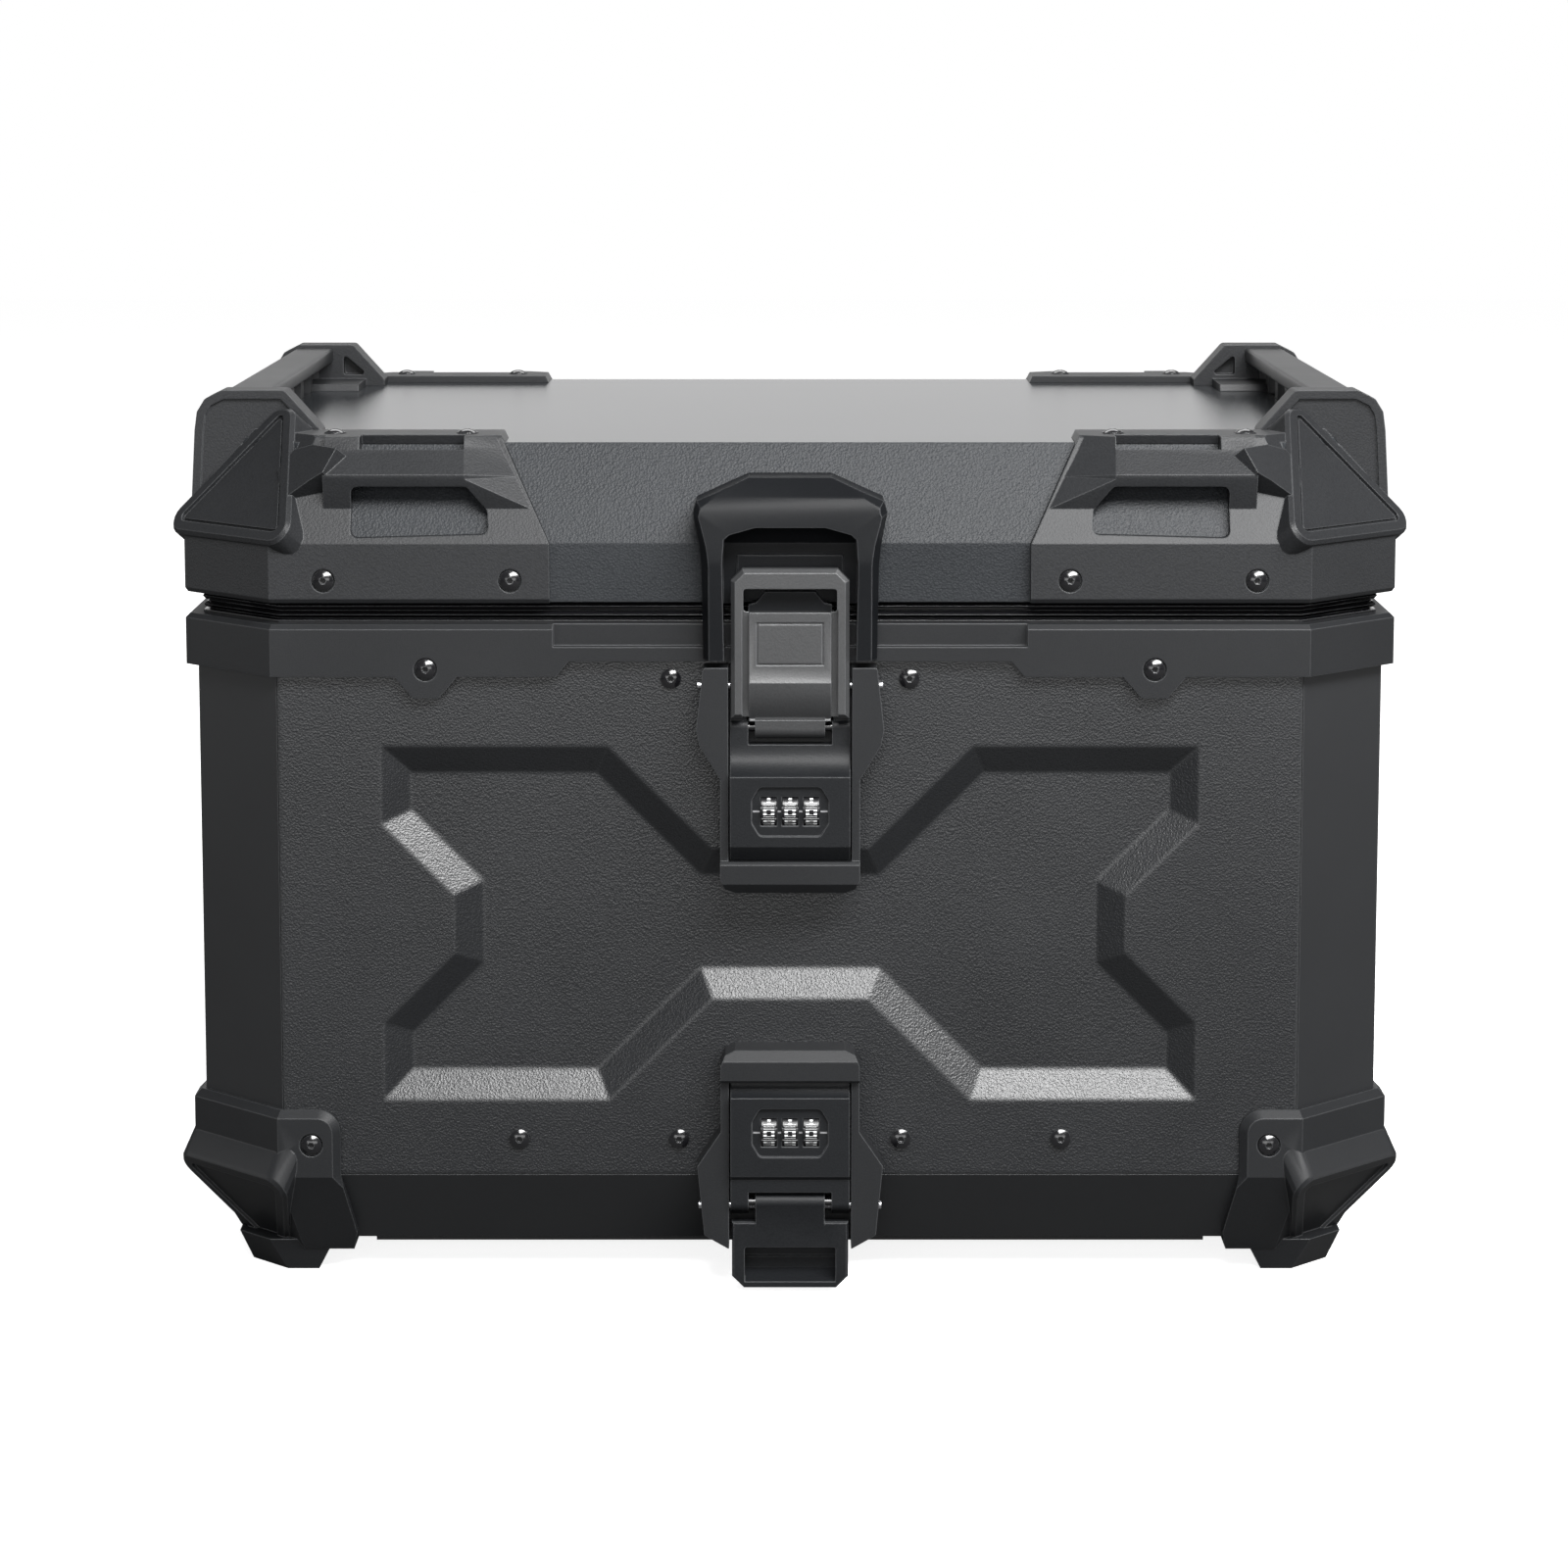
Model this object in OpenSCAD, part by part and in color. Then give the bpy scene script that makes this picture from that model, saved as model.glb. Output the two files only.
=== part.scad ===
// Hard top case for a motorcycle rack.
// A box of embossed sheet panels and corner pillars stands on four moulded corner feet.
// Its lid is hinged at the rear, carries two grab rails and closes with a draw latch.
// A second draw latch at the foot of the front clamps the case to its rack.
// Frame: X across the case, front towards -Y, Z up, feet on z = 0.

/* [Case] */
// Width across the side panels
case_w = 416; // [390:2:450]
// Depth across the front and rear panels
case_d = 326; // [306:2:360]
// Leg of each 45 degree corner
corner = 31; // [28:1:34]
// Thickness of the sheet walls
sheet = 2; // [1.5:0.1:2.4]
// Gap left between pieces that only touch
seat_gap = 0.2; // [0.1:0.05:0.3]

/* [Heights] */
// Underside of the pan above the ground
foot_h = 12; // [10:0.5:15]
// Height of the sloping pan wall
pan_rise = 26.5; // [22:0.5:30]
// How far the pan wall leans in over that height
pan_lean = 15; // [12:1:18]
// Bare panel between pan and rim
panel_h = 176.5; // [170:0.5:220]
// Height of the rim band
rim_h = 18; // [16:0.5:20]
// Gap between rim and lid, filled by the seal
seal_gap = 7.5; // [6:0.5:9]
// Height of the upright lid skirt
skirt_h = 20.5; // [19:0.5:24]
// Height of the sloping lid wall
slope_h = 33; // [30:1:38]
// How far the lid wall leans in over that height
slope_in = 17; // [14:1:20]
// Top of the grab rails above the lid
rail_rise = 16.5; // [14.5:0.5:22]

/* [Embossing] */
// Depth of the pressed pattern
emboss_depth = 5.5; // [3:0.5:7]
// Width of its sloping border
emboss_bevel = 10; // [7:0.5:12]
// Width of the pattern on the front and rear panels
emboss_w = 283; // [250:1:300]
// Height of the pattern
emboss_h = 125; // [110:1:140]
// Width of the pattern on the side panels
emboss_side_w = 196; // [170:1:210]

/* [Guards] */
// How far rim and guards stand proud of the walls
proud = 4; // [3:0.5:5]
// Length of the lid guard along the front, from the corner
guard_run = 94.5; // [85:0.5:100]
// Length of the lid guard along the side, from the corner
guard_side_run = 62; // [50:1:70]
// Length of the bottom guard along each wall, from the corner
foot_run = 20; // [18:0.5:26]
// Height of the bottom guard above the pan wall
foot_guard_h = 23.5; // [20:0.5:28]
// Width of a grab rail
rail_w = 15.5; // [13:0.5:18]
// Thickness of a grab rail
rail_t = 6; // [5:0.5:8]
// Thickness of the upright rail holders
holder_t = 15; // [12:0.5:18]

/* [Latches] */
// Width of the lock block
block_w = 41.2; // [38:0.2:44]
// Reach of the lock block in front of the panel
block_reach = 16; // [15:0.5:18]
// Length of the lock block below its ear pin
block_l = 45.3; // [44:0.1:52]
// Side clearance of the lock block in its base
block_gap = 0.6; // [0.4:0.1:1]
// Height of the rim above the upper latch's link pin
top_pin_drop = 17; // [15:0.5:20]
// Height of the lower latch's pivot pin
bottom_pin_z = 29.4; // [28:0.2:34]
// Distance from link pin to pivot pin in the upper latch
link_l = 14.4; // [13:0.2:16]
// Radius of the latch pins
pin_r = 1.5; // [1.2:0.1:1.7]
// Running clearance round pins, on the radius
run_gap = 0.05; // [0.03:0.01:0.09]
// Radius of the number wheels
wheel_r = 6.5; // [6:0.1:6.8]
// Width of a number wheel
wheel_w = 5.2; // [4.6:0.1:5.6]
// Spacing of the number wheels
wheel_pitch = 7.3; // [7:0.1:7.8]

/* [Hinges] */
// Gap between a hinge and the lid guard beside it
hinge_gap = 6; // [4:0.5:12]
// Length of a hinge
hinge_l = 56; // [48:1:64]
// Radius of the hinge barrel
barrel_r = 4.6; // [4.2:0.1:5]
// Radius of the hinge pin
hinge_pin_r = 2; // [1.8:0.1:2.4]

/* [Fasteners] */
// Head diameter of the button-head screws
head_d = 7; // [6:0.2:8]
// Shank diameter
shank_d = 4; // [3:0.5:4.5]

/* [Hidden] */
$fn = 48;
nudge = 0.01;

// Heights of the main edges
z_pan = foot_h;
z_break = z_pan + pan_rise;
z_rim = z_break + panel_h;
z_rim_top = z_rim + rim_h;
z_lid = z_rim_top + seal_gap;
z_skirt = z_lid + skirt_h;
z_top = z_skirt + slope_h;
z_rail = z_top + rail_rise;

// Half sizes, and the flat half widths between the corners
half_w = case_w / 2;
half_d = case_d / 2;
flat_w = half_w - corner;
flat_d = half_d - corner;

// Hinge axis, and the hinge's distance from the middle
hinge_z = z_lid - 3.5;
hinge_out = barrel_r + 2;
hinge_x = flat_w - guard_run - hinge_gap - hinge_l / 2;

// Link pin of the upper latch
top_pin_z = z_rim - top_pin_drop;

// How far the number wheels stand out of the lock block
wheel_proud = 0.5;

// The case is moved back so that latches and hinges reach equally far from the origin
y_shift = (block_reach + wheel_proud - hinge_out - barrel_r) / 2;

plastic = [0.075, 0.078, 0.085];
satin = [0.16, 0.165, 0.175];
grained = [0.11, 0.113, 0.12];
rubber = [0.03, 0.03, 0.03];
steel = [0.62, 0.63, 0.65];
black_steel = [0.05, 0.05, 0.055];

// ---------- outlines ----------

function unit(v) = v / norm(v);
function left_of(p, q) = let (e = unit(q - p)) [-e.y, e.x];

// Outline moved inwards by d with mitred corners; points run anticlockwise
function inset(pts, d) =
    let (n = len(pts))
    [for (i = [0 : n - 1])
        let (a = left_of(pts[(i + n - 1) % n], pts[i]), b = left_of(pts[i], pts[(i + 1) % n]))
        pts[i] + d * (a + b) / (1 + a * b)];

// Outline with every corner rounded to radius r
function rounded(pts, r, steps = 4) =
    let (n = len(pts))
    [for (i = [0 : n - 1])
        let (
            p = pts[i],
            a = unit(pts[(i + n - 1) % n] - p),
            b = unit(pts[(i + 1) % n] - p),
            half = acos(a * b) / 2,
            c = p + unit(a + b) * r / sin(half),
            from = p + a * r / tan(half) - c,
            to = p + b * r / tan(half) - c,
            start = atan2(from.y, from.x),
            turn = (atan2(to.y, to.x) - start + 540) % 360 - 180
        )
        for (k = [0 : steps]) c + r * [cos(start + turn * k / steps), sin(start + turn * k / steps)]];

function ring(pts, z) = [for (p = pts) [p.x, p.y, z]];
// Half outline of [half width, height] points, lowest first, completed by its mirror image
function mirrored(half) =
    concat(half, [for (i = [len(half) - 1 : -1 : 0]) [-half[i].x, half[i].y]]);
function arc(centre, r, from, to, steps) =
    [for (k = [0 : steps]) let (a = from + (to - from) * k / steps) centre + r * [cos(a), sin(a)]];
function case_outline(d) = inset([
    [-flat_w, -half_d], [flat_w, -half_d], [half_w, -flat_d], [half_w, flat_d],
    [flat_w, half_d], [-flat_w, half_d], [-half_w, flat_d], [-half_w, -flat_d]
], d);

// Solid skinned over rings of equal point count, lowest ring first
module skin(rings) {
    n = len(rings[0]);
    m = len(rings);
    polyhedron(
        points = [for (r = rings) each r],
        faces = [
            [for (i = [0 : n - 1]) i],
            [for (i = [n - 1 : -1 : 0]) (m - 1) * n + i],
            for (k = [0 : m - 2], i = [0 : n - 1])
                [k * n + i, (k + 1) * n + i, (k + 1) * n + (i + 1) % n, k * n + (i + 1) % n]
        ]
    );
}

// ---------- placing ----------

// Moves the case so that its bounding box is centred on the origin
module seat() translate([0, y_shift, 0]) children();

// Draws in a wall's own frame: x along the wall, y up, z outwards
module on_wall(angle) {
    reach = abs(sin(angle)) > 0.5 ? half_w : half_d;
    rotate([0, 0, angle]) translate([0, -reach, 0]) rotate([90, 0, 0]) children();
}

// Extrudes a profile of [outwards, up] points along X from x0 to x1, in front of the front wall
module across_front(x0, x1)
    translate([x0, -half_d, 0]) rotate([90, 0, 90]) linear_extrude(x1 - x0) mirror([1, 0]) children();

// A round bar along X at height z, standing out by reach from the front wall
module cross_bar(r, x0, x1, reach, z)
    translate([x0, -half_d - reach, z]) rotate([0, 90, 0]) cylinder(r = r, h = x1 - x0);

// The child drawn for the front left corner, copied to the corner with the given signs
module at_corner(side, end) mirror([side > 0 ? 1 : 0, 0, 0]) mirror([0, end > 0 ? 1 : 0, 0]) children();

// ---------- fasteners ----------

// Button-head screw, head towards +z, seated on z = 0
module screw(length) {
    dome = head_d * 0.8;
    translate([0, 0, -length]) cylinder(d = shank_d, h = length + 0.2);
    difference() {
        intersection() {
            cylinder(d = head_d, h = head_d * 0.36);
            translate([0, 0, head_d * 0.36 - dome]) sphere(r = dome);
        }
        translate([0, 0, head_d * 0.16]) cylinder(d = shank_d * 0.6, h = head_d, $fn = 6);
    }
}
module shank_hole(depth) cylinder(d = shank_d + 0.3, h = depth * 2, center = true);
screw_l = 6;

// Screw places on each wall, as [along, up]
panel_row_z = z_break + 13;
front_row = [[-94.5, panel_row_z], [-38.7, panel_row_z], [38.7, panel_row_z], [94.5, panel_row_z]];
latch_row = [[-41.1, z_rim - 1], [41.1, z_rim - 1]];
side_row = [[-62, panel_row_z], [62, panel_row_z]];
rim_row = [[-125.3, z_rim + 2.6], [125.3, z_rim + 2.6]];
rim_side_row = [[-78, z_rim + 2.6], [78, z_rim + 2.6]];
foot_screw_in = foot_run - 10;
foot_screw_z = z_break + 11.5;
function foot_row(flat_half) =
    [[-flat_half + foot_screw_in, foot_screw_z], [flat_half - foot_screw_in, foot_screw_z]];
hinge_marks = [for (side = [-1, 1], end = [-1, 1]) side * hinge_x + end * hinge_l * 0.36];
body_hinge_row = [for (x = hinge_marks) [x, z_rim + 5]];
lid_hinge_row = [for (x = hinge_marks) [x, z_lid + 12]];

// Children at each place of a row on the wall at this angle, raised by out
module on_row(angle, row, out = 0) on_wall(angle) for (p = row) translate([p.x, p.y, out]) children();

// ---------- body shell ----------

module pan_screw_places() {
    for (a = [0, 180]) on_row(a, front_row) children();
    for (a = [90, 270]) on_row(a, side_row) children();
}
module foot_screw_places(out) {
    for (a = [0, 180]) on_row(a, foot_row(flat_w), out) children();
    for (a = [90, 270]) on_row(a, foot_row(flat_d), out) children();
}

// Tray with sloping walls and an upright flange inside the panels
pan_flange = sheet + seat_gap;
pan_flange_h = 22;
module bottom_pan() seat() color(satin) {
    difference() {
        skin([
            ring(case_outline(pan_lean), z_pan), ring(case_outline(0), z_break),
            ring(case_outline(pan_flange), z_break), ring(case_outline(pan_flange), z_break + pan_flange_h)
        ]);
        skin([
            ring(case_outline(pan_lean + sheet), z_pan + sheet),
            ring(case_outline(pan_flange + sheet), z_break),
            ring(case_outline(pan_flange + sheet), z_break + pan_flange_h + 1)
        ]);
        pan_screw_places() shank_hole(8);
        foot_screw_places(0) shank_hole(8);
    }
    // Ribs under the front and rear edges
    rib_h = 3;
    rib_w = 4;
    for (y = [-1, 1], k = [0 : 2])
        translate([-flat_w + 30, y * (half_d - pan_lean - 8 - 9 * k) - rib_w / 2, z_pan - rib_h])
            cube([2 * flat_w - 60, rib_w, rib_h + nudge]);
}

// Plate under the pan with the slots that take the rack's tongues
dock_w = 236;
dock_d = 170;
dock_h = 6;
dock_slot_w = 56;
dock_slot_d = 14;
dock_slot_x = 70;
dock_slot_y = 56;
module dock_plate() seat() color(plastic) translate([0, 0, z_pan - dock_h]) difference() {
    linear_extrude(dock_h) polygon(rounded([
        [-dock_w / 2, -dock_d / 2], [dock_w / 2, -dock_d / 2],
        [dock_w / 2, dock_d / 2], [-dock_w / 2, dock_d / 2]], 14));
    for (x = [-1, 1]) translate([x * dock_slot_x, dock_slot_y, -1]) linear_extrude(dock_h + 2)
        square([dock_slot_w, dock_slot_d], center = true);
    translate([0, -dock_d / 2 + 16, -1]) linear_extrude(dock_h + 2)
        square([dock_slot_w, dock_slot_d], center = true);
}

// Outline of the pressed cross, centred, points anticlockwise
function cross_outline(w, h) =
    let (
        a = w / 2, b = h / 2,
        mouth = w * 0.2225, floor_w = w * 0.0955, notch = mouth - floor_w,
        leg = h * 0.218, waist = h * 0.082, pinch = b - leg - waist
    )
    [
        [-a, -b], [-mouth, -b], [-floor_w, -b + notch], [floor_w, -b + notch], [mouth, -b], [a, -b],
        [a, -b + leg], [a - pinch, -waist], [a - pinch, waist], [a, b - leg],
        [a, b], [mouth, b], [floor_w, b - notch], [-floor_w, b - notch], [-mouth, b], [-a, b],
        [-a, b - leg], [-a + pinch, waist], [-a + pinch, -waist], [-a, -b + leg]
    ];

// Sheet panel pressed inwards, drawn in its wall's frame
panel_top = z_rim + rim_h * 0.45;
module panel(flat_half, pattern_w, holes) {
    outline = cross_outline(pattern_w, emboss_h);
    mid_z = z_break + panel_h / 2 + 1;
    module pressing(shift, top)
        translate([0, mid_z, 0]) skin([
            ring(inset(outline, emboss_bevel), -emboss_depth - shift),
            ring(outline, -shift), ring(outline, top)
        ]);
    difference() {
        union() {
            translate([-flat_half + seat_gap, z_break + nudge, -sheet])
                cube([2 * (flat_half - seat_gap), panel_top - z_break - nudge, sheet]);
            pressing(sheet, -sheet / 2);
        }
        pressing(0, 1);
        for (p = holes) translate([p.x, p.y, 0]) shank_hole(sheet * 3);
    }
}
module front_panel() seat() color(grained)
    on_wall(0) panel(flat_w, emboss_w, concat(front_row, latch_row, rim_row, foot_row(flat_w)));
module rear_panel() seat() color(grained)
    on_wall(180) panel(flat_w, emboss_w, concat(front_row, rim_row, foot_row(flat_w)));
module right_panel() seat() color(grained)
    on_wall(90) panel(flat_d, emboss_side_w, concat(side_row, rim_side_row, foot_row(flat_d)));
module left_panel() seat() color(grained)
    on_wall(270) panel(flat_d, emboss_side_w, concat(side_row, rim_side_row, foot_row(flat_d)));

// Corner post: a 45 degree face and, above the pan's flange, a lip behind each neighbouring panel
module pillar() {
    lip = 10;
    wall = 2.2;
    back = sheet + seat_gap;
    diag = wall * (sqrt(2) - 1);
    z_lip = z_break + pan_flange_h + seat_gap;
    translate([-half_w, -half_d, 0]) {
        translate([0, 0, z_break + nudge]) linear_extrude(z_lip - z_break)
            polygon([[corner, 0], [corner, sheet], [sheet, corner], [0, corner]]);
        translate([0, 0, z_lip]) linear_extrude(panel_top - z_lip) polygon([
            [corner, 0], [corner, back], [corner + lip, back], [corner + lip, back + wall],
            [corner + diag - back, back + wall], [back + wall, corner + diag - back],
            [back + wall, corner + lip], [back, corner + lip], [back, corner], [0, corner]
        ]);
    }
}
module front_left_pillar() seat() color(plastic) at_corner(-1, -1) pillar();
module front_right_pillar() seat() color(plastic) at_corner(1, -1) pillar();
module rear_left_pillar() seat() color(plastic) at_corner(-1, 1) pillar();
module rear_right_pillar() seat() color(plastic) at_corner(1, 1) pillar();

// Rim band with screw tabs, closing flange and, in front, a lowered middle
notch_half = 81.5;
notch_low = 5.4;
notch_high = 7.6;
module rim_tab() polygon(rounded([[-12.5, 2], [-4.4, -7.5], [4.4, -7.5], [12.5, 2]], 1.6));
module top_rim() seat() color(plastic) {
    bevel = 1.6;
    flange = 10;
    skirt_in = sheet + seat_gap + 2.4;
    difference() {
        union() {
            difference() {
                skin([
                    ring(case_outline(-proud), z_rim), ring(case_outline(-proud), z_rim_top - bevel),
                    ring(case_outline(-proud + bevel), z_rim_top)
                ]);
                translate([0, 0, z_rim - 1]) linear_extrude(panel_top - z_rim + 1 + seat_gap)
                    polygon(case_outline(0));
                translate([0, 0, z_rim - 1]) linear_extrude(rim_h + 2) polygon(case_outline(flange));
            }
            translate([0, 0, z_rim + 9]) difference() {
                linear_extrude(rim_h - 10) polygon(case_outline(sheet + 2.6));
                translate([0, 0, -1]) linear_extrude(rim_h) polygon(case_outline(sheet + 5));
            }
            for (a = [0, 180]) on_wall(a) for (p = rim_row)
                translate([p.x, z_rim, 0]) linear_extrude(proud) rim_tab();
            for (a = [90, 270]) on_wall(a) for (p = rim_side_row)
                translate([p.x, z_rim, 0]) linear_extrude(proud) rim_tab();
        }
        // The lowered middle takes the latch hood
        on_wall(0) {
            linear_extrude(proud + 1) polygon([
                [-notch_half, z_rim - 1], [notch_half, z_rim - 1],
                [notch_half - notch_low, z_rim + notch_low], [-notch_half + notch_low, z_rim + notch_low]]);
            linear_extrude(proud + 1) polygon([
                [-notch_half, z_rim_top + 1], [-notch_half, z_rim_top - notch_high],
                [notch_half, z_rim_top - notch_high], [notch_half, z_rim_top + 1]]);
        }
        for (a = [0, 180]) on_row(a, rim_row) screw_seat();
        for (a = [90, 270]) on_row(a, rim_side_row) screw_seat();
        on_row(180, body_hinge_row) shank_hole(8);
    }
}

// Round recess and shank hole of a screw that holds a proud moulding to a wall
seat_depth = 1.5;
module screw_seat() {
    translate([0, 0, proud - seat_depth]) cylinder(d = head_d + 1.2, h = proud);
    cylinder(d = shank_d + 0.3, h = proud * 4, center = true);
}

// Rubber seal with two beads and a thin lip between rim and lid
module rim_seal() seat() color(rubber) {
    gap = seal_gap - seat_gap;
    difference() {
        skin([
            ring(case_outline(2.2), z_rim_top), ring(case_outline(2.2), z_rim_top + gap * 0.12),
            ring(case_outline(4.2), z_rim_top + gap * 0.18), ring(case_outline(3), z_rim_top + gap * 0.26),
            ring(case_outline(2.2), z_rim_top + gap * 0.38), ring(case_outline(3), z_rim_top + gap * 0.5),
            ring(case_outline(4), z_rim_top + gap * 0.56), ring(case_outline(2.6), z_rim_top + gap * 0.66),
            ring(case_outline(1.8), z_rim_top + gap * 0.8), ring(case_outline(2.6), z_rim_top + gap * 0.94),
            ring(case_outline(3.6), z_rim_top + gap)
        ]);
        translate([0, 0, z_rim_top - 1]) linear_extrude(seal_gap + 2) polygon(case_outline(9));
    }
}

// ---------- corner guards ----------

// Skin of the pan and walls at distance d inside the true surface
module lower_skin(d, top) skin([
    ring(case_outline(pan_lean + d), z_pan), ring(case_outline(d), z_break),
    ring(case_outline(d), top)
]);

// Frame on the 45 degree corner, drawn for the front left corner: x along the corner towards the
// front wall, y up the slope from the base edge at height z0, z outwards. The slope leans in by lean
// over rise; out is the distance of the base edge in front of the corner. Point down flips it over.
module on_corner(z0, out, rise, lean, point_up)
    translate([-half_w + corner / 2, -half_d + corner / 2, z0]) rotate([0, 0, -45])
        translate([0, -out, 0]) mirror([0, 0, point_up ? 0 : 1])
            rotate([90 - atan2(lean, rise), 0, 0]) children();

// Blunt triangular bumper with a raised border; its back drops by drop towards the base edge
bumper_t = 12;
bumper_r = 6.5;
bumper_rim = 4.6;
bumper_edge = 1.2;
bumper_sunk = 1.4;
module bumper(half_base, tip, slant, drop) {
    sharp = [[-half_base, 0], [half_base, 0], [tip, slant], [-tip, slant]];
    outline = rounded(sharp, bumper_r, 6);
    hollow = rounded(inset([[-half_base, 0], [half_base, 0],
        [0, slant * half_base / (half_base - tip)]], bumper_rim), 2.2, 5);
    translate([0, 0, -bumper_t]) difference() {
        skin([
            ring([for (p = outline) p - [0, drop]], 0), ring(outline, bumper_t - bumper_edge),
            ring(inset(outline, bumper_edge), bumper_t)]);
        translate([0, 0, bumper_t - bumper_sunk]) linear_extrude(bumper_sunk + 1) polygon(hollow);
    }
}

// Moulded foot at a lower corner: wrap, screw wings, sloping skirt, foot pad and corner bumper
foot_top = z_break + foot_guard_h;
foot_end = foot_run + 4.4;
foot_under = 4;
foot_bevel = 2.6;
foot_round = 8;
foot_bumper_rise = 38;
foot_bumper_lean = 25;
foot_bumper_out = 9.5;
wing_back = 38;
// Wing on a wall whose flat part starts at x = 0; its upper corner is rounded, its edges bevelled
module foot_wing() {
    far = -corner - 60;
    outline = concat([
        [far, z_pan - foot_under - 2], [foot_end - 2, z_pan - foot_under - 2], [foot_end, z_pan + 3],
        [foot_run, z_break]],
        arc([foot_run - foot_round, foot_top - foot_round], foot_round, 0, 90, 8),
        [[far, foot_top]]);
    translate([0, 0, -wing_back]) skin([
        ring(outline, 0), ring(outline, wing_back + proud - foot_bevel),
        ring(inset(outline, foot_bevel), wing_back + proud)]);
}
module foot_guard() {
    depth = 34;
    margin = 20;
    reach = corner + foot_end + margin;
    difference() {
        union() {
            intersection() {
                skin([
                    ring(case_outline(pan_lean - proud + 2), z_pan - foot_under),
                    ring(case_outline(pan_lean - proud), z_pan - foot_under + 3),
                    ring(case_outline(-proud), z_break), ring(case_outline(-proud), foot_top - foot_bevel),
                    ring(case_outline(-proud + foot_bevel), foot_top)
                ]);
                union() {
                    on_wall(0) translate([-flat_w, 0, 0]) foot_wing();
                    on_wall(270) mirror([1, 0, 0]) translate([-flat_d, 0, 0]) foot_wing();
                }
                translate([-half_w - margin, -half_d - margin, 0]) linear_extrude(foot_top) polygon([
                    [0, 0], [reach, 0], [reach, margin + depth], [margin + depth, reach], [0, reach]]);
            }
            on_corner(z_break + 1, foot_bumper_out, foot_bumper_rise, foot_bumper_lean, false)
                bumper(34, 3.5, norm([foot_bumper_rise, foot_bumper_lean]), 5);
        }
        lower_skin(0, foot_top + 1);
        on_row(0, [foot_row(flat_w)[0]]) screw_seat();
        on_row(270, [foot_row(flat_d)[1]]) screw_seat();
    }
    translate([-half_w, -half_d, 0]) foot_pad();
}
// Tapered pad under the corner, from the wrap down to the ground
module foot_pad() {
    low = [[30, 16], [41, 16], [41, 24], [24, 41], [16, 41], [16, 30]];
    high = [[24, 12], [47, 12], [47, 28], [28, 47], [12, 47], [12, 24]];
    skin([ring(low, 0), ring(high, z_pan - seat_gap)]);
}
module front_left_foot_guard() seat() color(plastic) at_corner(-1, -1) foot_guard();
module front_right_foot_guard() seat() color(plastic) at_corner(1, -1) foot_guard();
module rear_left_foot_guard() seat() color(plastic) at_corner(-1, 1) foot_guard();
module rear_right_foot_guard() seat() color(plastic) at_corner(1, 1) foot_guard();

// ---------- latches ----------
// Both latches share one drawing: origin at the ear pin on the panel's plane,
// block hanging below it. The lower latch is the same drawing upside down.

pin_reach = 6;
pivot_reach = 5.2;
block_half = block_w / 2;
slot_half = block_half + block_gap;
base_back = 1.8;
block_back = 3.5;
lip_gap = 0.3;
ear_in = 14.4;
ear_r = 3.1;
dial_z = -27.9;
dial_reach = block_reach + wheel_proud - wheel_r;
wheel_slot = wheel_w + 0.4;
hook_reach = 11.5;
hook_pin_z = -2.5;

module at_top_latch() seat() translate([0, 0, top_pin_z]) children();
module at_bottom_latch() seat() translate([0, 0, bottom_pin_z]) mirror([0, 0, 1]) children();

// Tray with cheeks and a lip below the block; side lists [half width, height] up one cheek
cheek = slot_half + 11;
cheek_wall = slot_half + 2.8;
cheek_t = 13;
lip_h = 11;
z_lip = -block_l - lip_gap;
module latch_base(side) {
    z_end = z_lip - lip_h;
    low = [cheek_wall - 5, cheek_wall - 1.5, cheek_wall];
    plan = rounded(mirrored(concat(
        [[low[0], z_end], [low[1], z_end + 1.5], [low[2], z_end + 5]], side)), 0.8, 2);
    difference() {
        intersection() {
            on_front() linear_extrude(block_reach + 1) polygon(plan);
            across_front(-cheek - 1, cheek + 1) polygon([
                [0, z_end - 1], [block_reach - 3.6, z_end - 1], [block_reach, z_end + 3.5],
                [block_reach, z_lip - 0.9], [block_reach - 0.9, z_lip], [cheek_t, z_lip],
                [cheek_t, 40], [0, 40]]);
        }
        translate([-slot_half, -half_d - 40, z_lip]) cube([2 * slot_half, 40 - base_back, 200]);
    }
}
module on_front() translate([0, -half_d, 0]) rotate([90, 0, 0]) children();

// Bore through both cheeks
module cheek_bore(reach, z) cross_bar(pin_r, -60, 60, reach, z);

module top_latch_base() at_top_latch() color(plastic) difference() {
    latch_base([[cheek_wall, -17.2], [cheek - 1, -5.3], [cheek, 0], [cheek - 2.4, 21.4]]);
    cheek_bore(pivot_reach, link_l);
}
module bottom_latch_base() at_bottom_latch() color(plastic) difference() {
    latch_base([[cheek_wall, -27.6], [cheek, -15.4], [cheek - 2.4, 9.2], [slot_half + 0.4, 13.9]]);
    cheek_bore(pin_reach, 0);
}
pin_half = slot_half + 10.6;
module top_pivot_pin() at_top_latch() color(steel) cross_bar(pin_r, -pin_half, pin_half, pivot_reach, link_l);
module bottom_pivot_pin() at_bottom_latch() color(steel) cross_bar(pin_r, -pin_half, pin_half, pin_reach, 0);

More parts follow.
